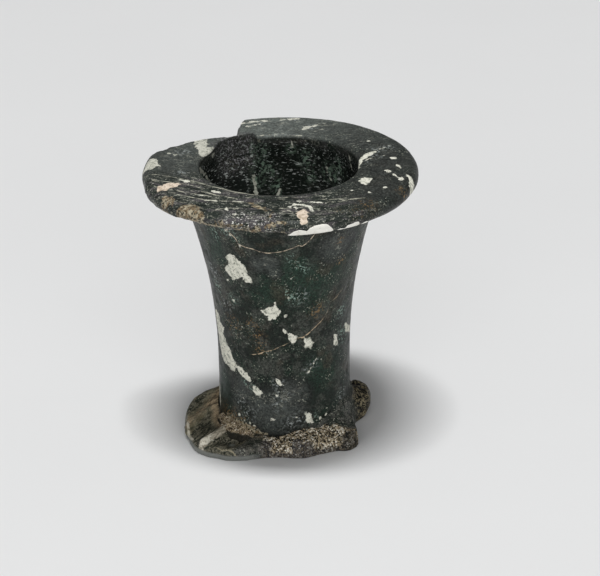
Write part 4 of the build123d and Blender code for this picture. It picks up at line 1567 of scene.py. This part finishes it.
def broken_foot():
    """Granular tan break, olive ridges, hairy brown groove, cream toe and tip, painted shade on the lobe, and
    a grey skirt below, painted as the floor's reflection.
    """
    finish = Finish("broken_foot", 0.2)
    lobe, granular = finish.field("lobe"), finish.field("grain")
    ragged = (finish.noise(0.8, 4.0) - 0.5) * 1.2
    grit = finish.noise(0.30, 3.0, harsh=0.7)
    polished = finish.noise(1.2, 4.0).window(0.4, 0.6).blend((0.022, 0.028, 0.022), (0.078, 0.078, 0.068))
    polished = polished.tinted(grit.window(0.3, 0.7, 0.28, 2.3))
    fleck = finish.noise(0.28, 2.0, harsh=0.6).window(0.61, 0.68)
    polished = (fleck * 0.9).blend(polished, (0.52, 0.52, 0.43))
    strand = finish.drawn("hair_along", "hair_across")
    hair = finish.noise(0.45, 3.0, strand, 0.65).window(0.42, 0.60)
    hair_tone = hair.blend((0.020, 0.018, 0.011), (0.36, 0.29, 0.18))
    olive = finish.noise(1.4, 4.0).window(0.4, 0.6).blend((0.105, 0.104, 0.068), (0.22, 0.21, 0.15))
    finish.colour = lobe.blend(polished, olive.tinted(grit.window(0.3, 0.7, 0.5, 1.6)))
    finish.lay(lobe * 0.25, hair_tone)
    wisp = finish.noise(0.42, 4.0, strand, 0.7).window(0.36, 0.62)
    slope = (finish.field("slope") + ragged).window(0.15, 0.95)
    finish.lay(slope * 0.9, wisp.blend((0.62, 0.48, 0.31), (0.15, 0.118, 0.078)))
    shade = (finish.field("shade") + ragged).window(0.25, 0.85)
    shade_tone = hair.blend((0.017, 0.021, 0.014), (0.18, 0.17, 0.125))
    shade_tone = (grit.window(0.57, 0.66) * 0.9).blend(shade_tone, (0.50, 0.47, 0.37))
    finish.lay(shade * 0.9, shade_tone)
    tan = (finish.field("tan_line") + ragged).window(0.55, 0.90)
    finish.lay(tan * 0.7, (0.44, 0.39, 0.27))
    # How pale each grain is: its own number, moved by lumps and by a fine noise
    fine = finish.noise(0.40, 3.0, harsh=0.75)
    away, number = finish.grains(0.25)
    level = number + (finish.noise(1.2, 4.0, harsh=0.6) - 0.5) * 1.5 + (fine - 0.5) * 0.9
    finish.lay(granular, worn_slab(finish, ragged, level, fine))
    mottle = finish.noise(0.5, 4.0, harsh=0.7).window(0.46, 0.66)
    cream_tone = mottle.blend((0.82, 0.78, 0.66), (0.30, 0.26, 0.18))
    toe_tone = hair.blend((0.27, 0.24, 0.18), (0.62, 0.56, 0.45))
    toe_tone = (finish.field("toe_tip") + ragged).window(0.35, 0.65).blend(toe_tone, cream_tone)
    finish.lay((finish.field("toe") + ragged * 0.8).window(0.30, 0.70), toe_tone)
    tip = (finish.field("tip") + ragged).window(0.40, 0.80)
    finish.lay(tip * 0.6, cream_tone)
    knob_tone = level.window(0.30, 1.05).blend((0.003, 0.003, 0.002), (0.28, 0.24, 0.15))
    finish.lay(finish.field("knob").window(0.05, 0.3), knob_tone)
    # The skirt's grey is a painted reflection of the pale floor on the foot's smooth lower face
    grey = finish.noise(1.4, 3.0).blend((0.18, 0.19, 0.18), (0.27, 0.28, 0.26))
    finish.lay(finish.field("skirt") * 0.9, grey)
    rough = granular.window(0.0, 1.0, 0.42, 0.85)
    rough = finish.field("glint").window(0.2, 0.8, rough, 0.25)
    rounded = away.window(0.7, 0.0) * granular
    waves = finish.noise(1.0, 4.0)
    return finish.dress(rough, [(rounded, 0.10), (fine, 0.10), (hair * lobe, 0.05), (waves, 0.12)])


seat(foot, "foot_block", broken_foot())
print("broken foot done")

# %% [markdown]
# ## Paste, glue and fill
# The beds are brown earth and paste, full of grit. The old glue is a tan, slightly waxy line that has
# gathered dirt. The fills are smooth, off-white plaster, with faint stains and fine pores. They show
# little, so a few layers of noise are enough.

# %% Finishes of the small pieces


def earthy_paste():
    """Brown earth with pale and dark grains, painted near black in the crevice as painted shade, toned like
    the tube at the right.
    """
    finish = Finish("lute_paste", 0.15)
    grit = finish.noise(0.26, 3.0, harsh=0.7)
    finish.colour = finish.noise(0.8, 4.0).window(0.4, 0.6).blend((0.44, 0.35, 0.22), (0.19, 0.135, 0.082))
    finish.lay(grit.window(0.54, 0.64) * 0.9, (0.92, 0.85, 0.70))
    finish.lay(grit.window(0.48, 0.40), (0.016, 0.013, 0.010))
    # The low field lays painted shade: near black in the crevice and under the cake's brim
    finish.lay(finish.field("low") * 0.95, (0.022, 0.024, 0.020))
    clouded = finish.noise(0.8, 4.0, harsh=0.65).window(0.35, 0.65)
    tube_tone = clouded.blend((0.022, 0.028, 0.024), (0.090, 0.092, 0.082))
    fleck = finish.noise(0.28, 2.0, harsh=0.6).window(0.60, 0.68)
    tube_tone = (fleck * 0.8).blend(tube_tone, (0.40, 0.40, 0.33))
    finish.lay(finish.field("web") * 0.95, tube_tone)
    return finish.dress(0.9, [(grit, 0.05), (finish.noise(0.9, 4.0), 0.06)])


def aged_glue():
    """Tan glue, darker where dirt has caught on it."""
    finish = Finish("aged_glue")
    dirt = finish.noise(0.9, 4.0, harsh=0.7).window(0.42, 0.60)
    finish.colour = dirt.blend((0.78, 0.65, 0.48), (0.10, 0.08, 0.06))
    return finish.dress(0.6, [(finish.noise(0.3, 3.0), 0.03)])


def pale_fill():
    """Off-white plaster with faint stains and pores."""
    finish = Finish("pale_fill")
    stain = finish.noise(1.6, 4.0).window(0.45, 0.75)
    finish.colour = (stain * 0.7).blend((0.94, 0.92, 0.85), (0.64, 0.60, 0.50))
    finish.lay(finish.specks(0.5, 0.2, 0.25) * 0.6, (0.30, 0.27, 0.20))
    return finish.dress(0.7, [(finish.noise(0.4, 3.0), 0.03)])


earth = earthy_paste()
seat(paste, "rim_lute", earth)
seat(bed_piece, "foot_lute", earth)
seat(glue, "sherd_glue", aged_glue())
plaster = pale_fill()
for fill in fills:
    seat(fill, "rim_edge_fills", plaster)
print("paste, glue and fills done")

# %% [markdown]
# ## Floor, light and camera
# The jar stands on a flat, pale grey floor. An oblong lamp hangs high above it, a little to the front,
# and a large, weaker, square one stands in front and faces slightly down. The sky gives an even, weak
# fill. Wide lamps were chosen over a sun, because the shadow on the floor is soft. The camera looks
# down from the front with a long lens, and its place was found by fitting the rim, the mouth, the
# tube and the foot.

# %% Floor
floor_half = 3.0


def pale_floor():
    """Pale grey card with the faintest unevenness."""
    finish = Finish("pale_floor")
    finish.colour = finish.noise(60.0, 2.0).blend((0.79, 0.795, 0.797), (0.82, 0.825, 0.827))
    return finish.dress(0.9, [(finish.noise(0.8, 2.0), 0.01)])


floor_mesh = bpy.data.meshes.new("floor")
floor_corners = [(x * floor_half, y * floor_half, 0) for x, y in ((-1, -1), (1, -1), (1, 1), (-1, 1))]
floor_mesh.from_pydata(floor_corners, [], [(0, 1, 2, 3)])
floor = bpy.data.objects.new("floor", floor_mesh)
bpy.context.scene.collection.objects.link(floor)
floor.data.materials.append(pale_floor())
print("floor laid")

# %% Light
sky_fill = 0.16
world = bpy.data.worlds.new("soft_sky")
world.use_nodes = True
sky = world.node_tree.nodes["Background"]
sky.inputs["Color"].default_value = (1.0, 1.0, 1.0, 1.0)
sky.inputs["Strength"].default_value = sky_fill
bpy.context.scene.world = world


def soft_lamp(name, place, width, depth, power):
    """An oblong lamp in metres that faces the middle of the jar."""
    lamp = bpy.data.lights.new(name, "AREA")
    lamp.shape = "RECTANGLE"
    lamp.size = width
    lamp.size_y = depth
    lamp.energy = power
    holder = bpy.data.objects.new(name, lamp)
    aim = Vector((0.0, 0.0, jar_height * MM / 2)) - Vector(place)
    holder.matrix_world = Matrix.Translation(place) @ aim.to_track_quat("-Z", "Y").to_matrix().to_4x4()
    bpy.context.scene.collection.objects.link(holder)


soft_lamp("top_lamp", (-0.034, -0.22, 2.50), 0.75, 0.26, 42.4)
soft_lamp("front_lamp", (-0.02, -1.00, 0.45), 1.20, 1.20, 5.4)
print("two lamps and a sky")

# %% Camera
view_elevation = np.radians(25.24)
view_distance = 420.0
view_target = np.array([3.04, 0.0, 26.19])
view_roll = np.radians(-0.99)
focal_length = 142.86

back = np.array([0.0, -np.cos(view_elevation), np.sin(view_elevation)])
level_right = np.array([1.0, 0.0, 0.0])
level_up = np.cross(back, level_right)
right = np.cos(view_roll) * level_right + np.sin(view_roll) * level_up
up = np.cos(view_roll) * level_up - np.sin(view_roll) * level_right
camera_data = bpy.data.cameras.new("camera")
camera_data.sensor_fit = "HORIZONTAL"
camera_data.lens = focal_length
camera_data.clip_start = 0.01
camera = bpy.data.objects.new("camera", camera_data)
camera_place = (view_target + back * view_distance) * MM
camera.matrix_world = Matrix.Translation(camera_place) @ Matrix(np.stack([right, up, back], axis=1)).to_4x4()
bpy.context.scene.collection.objects.link(camera)
bpy.context.scene.camera = camera
bpy.context.scene.view_settings.view_transform = "Standard"
print("camera at", camera_place.round(3))
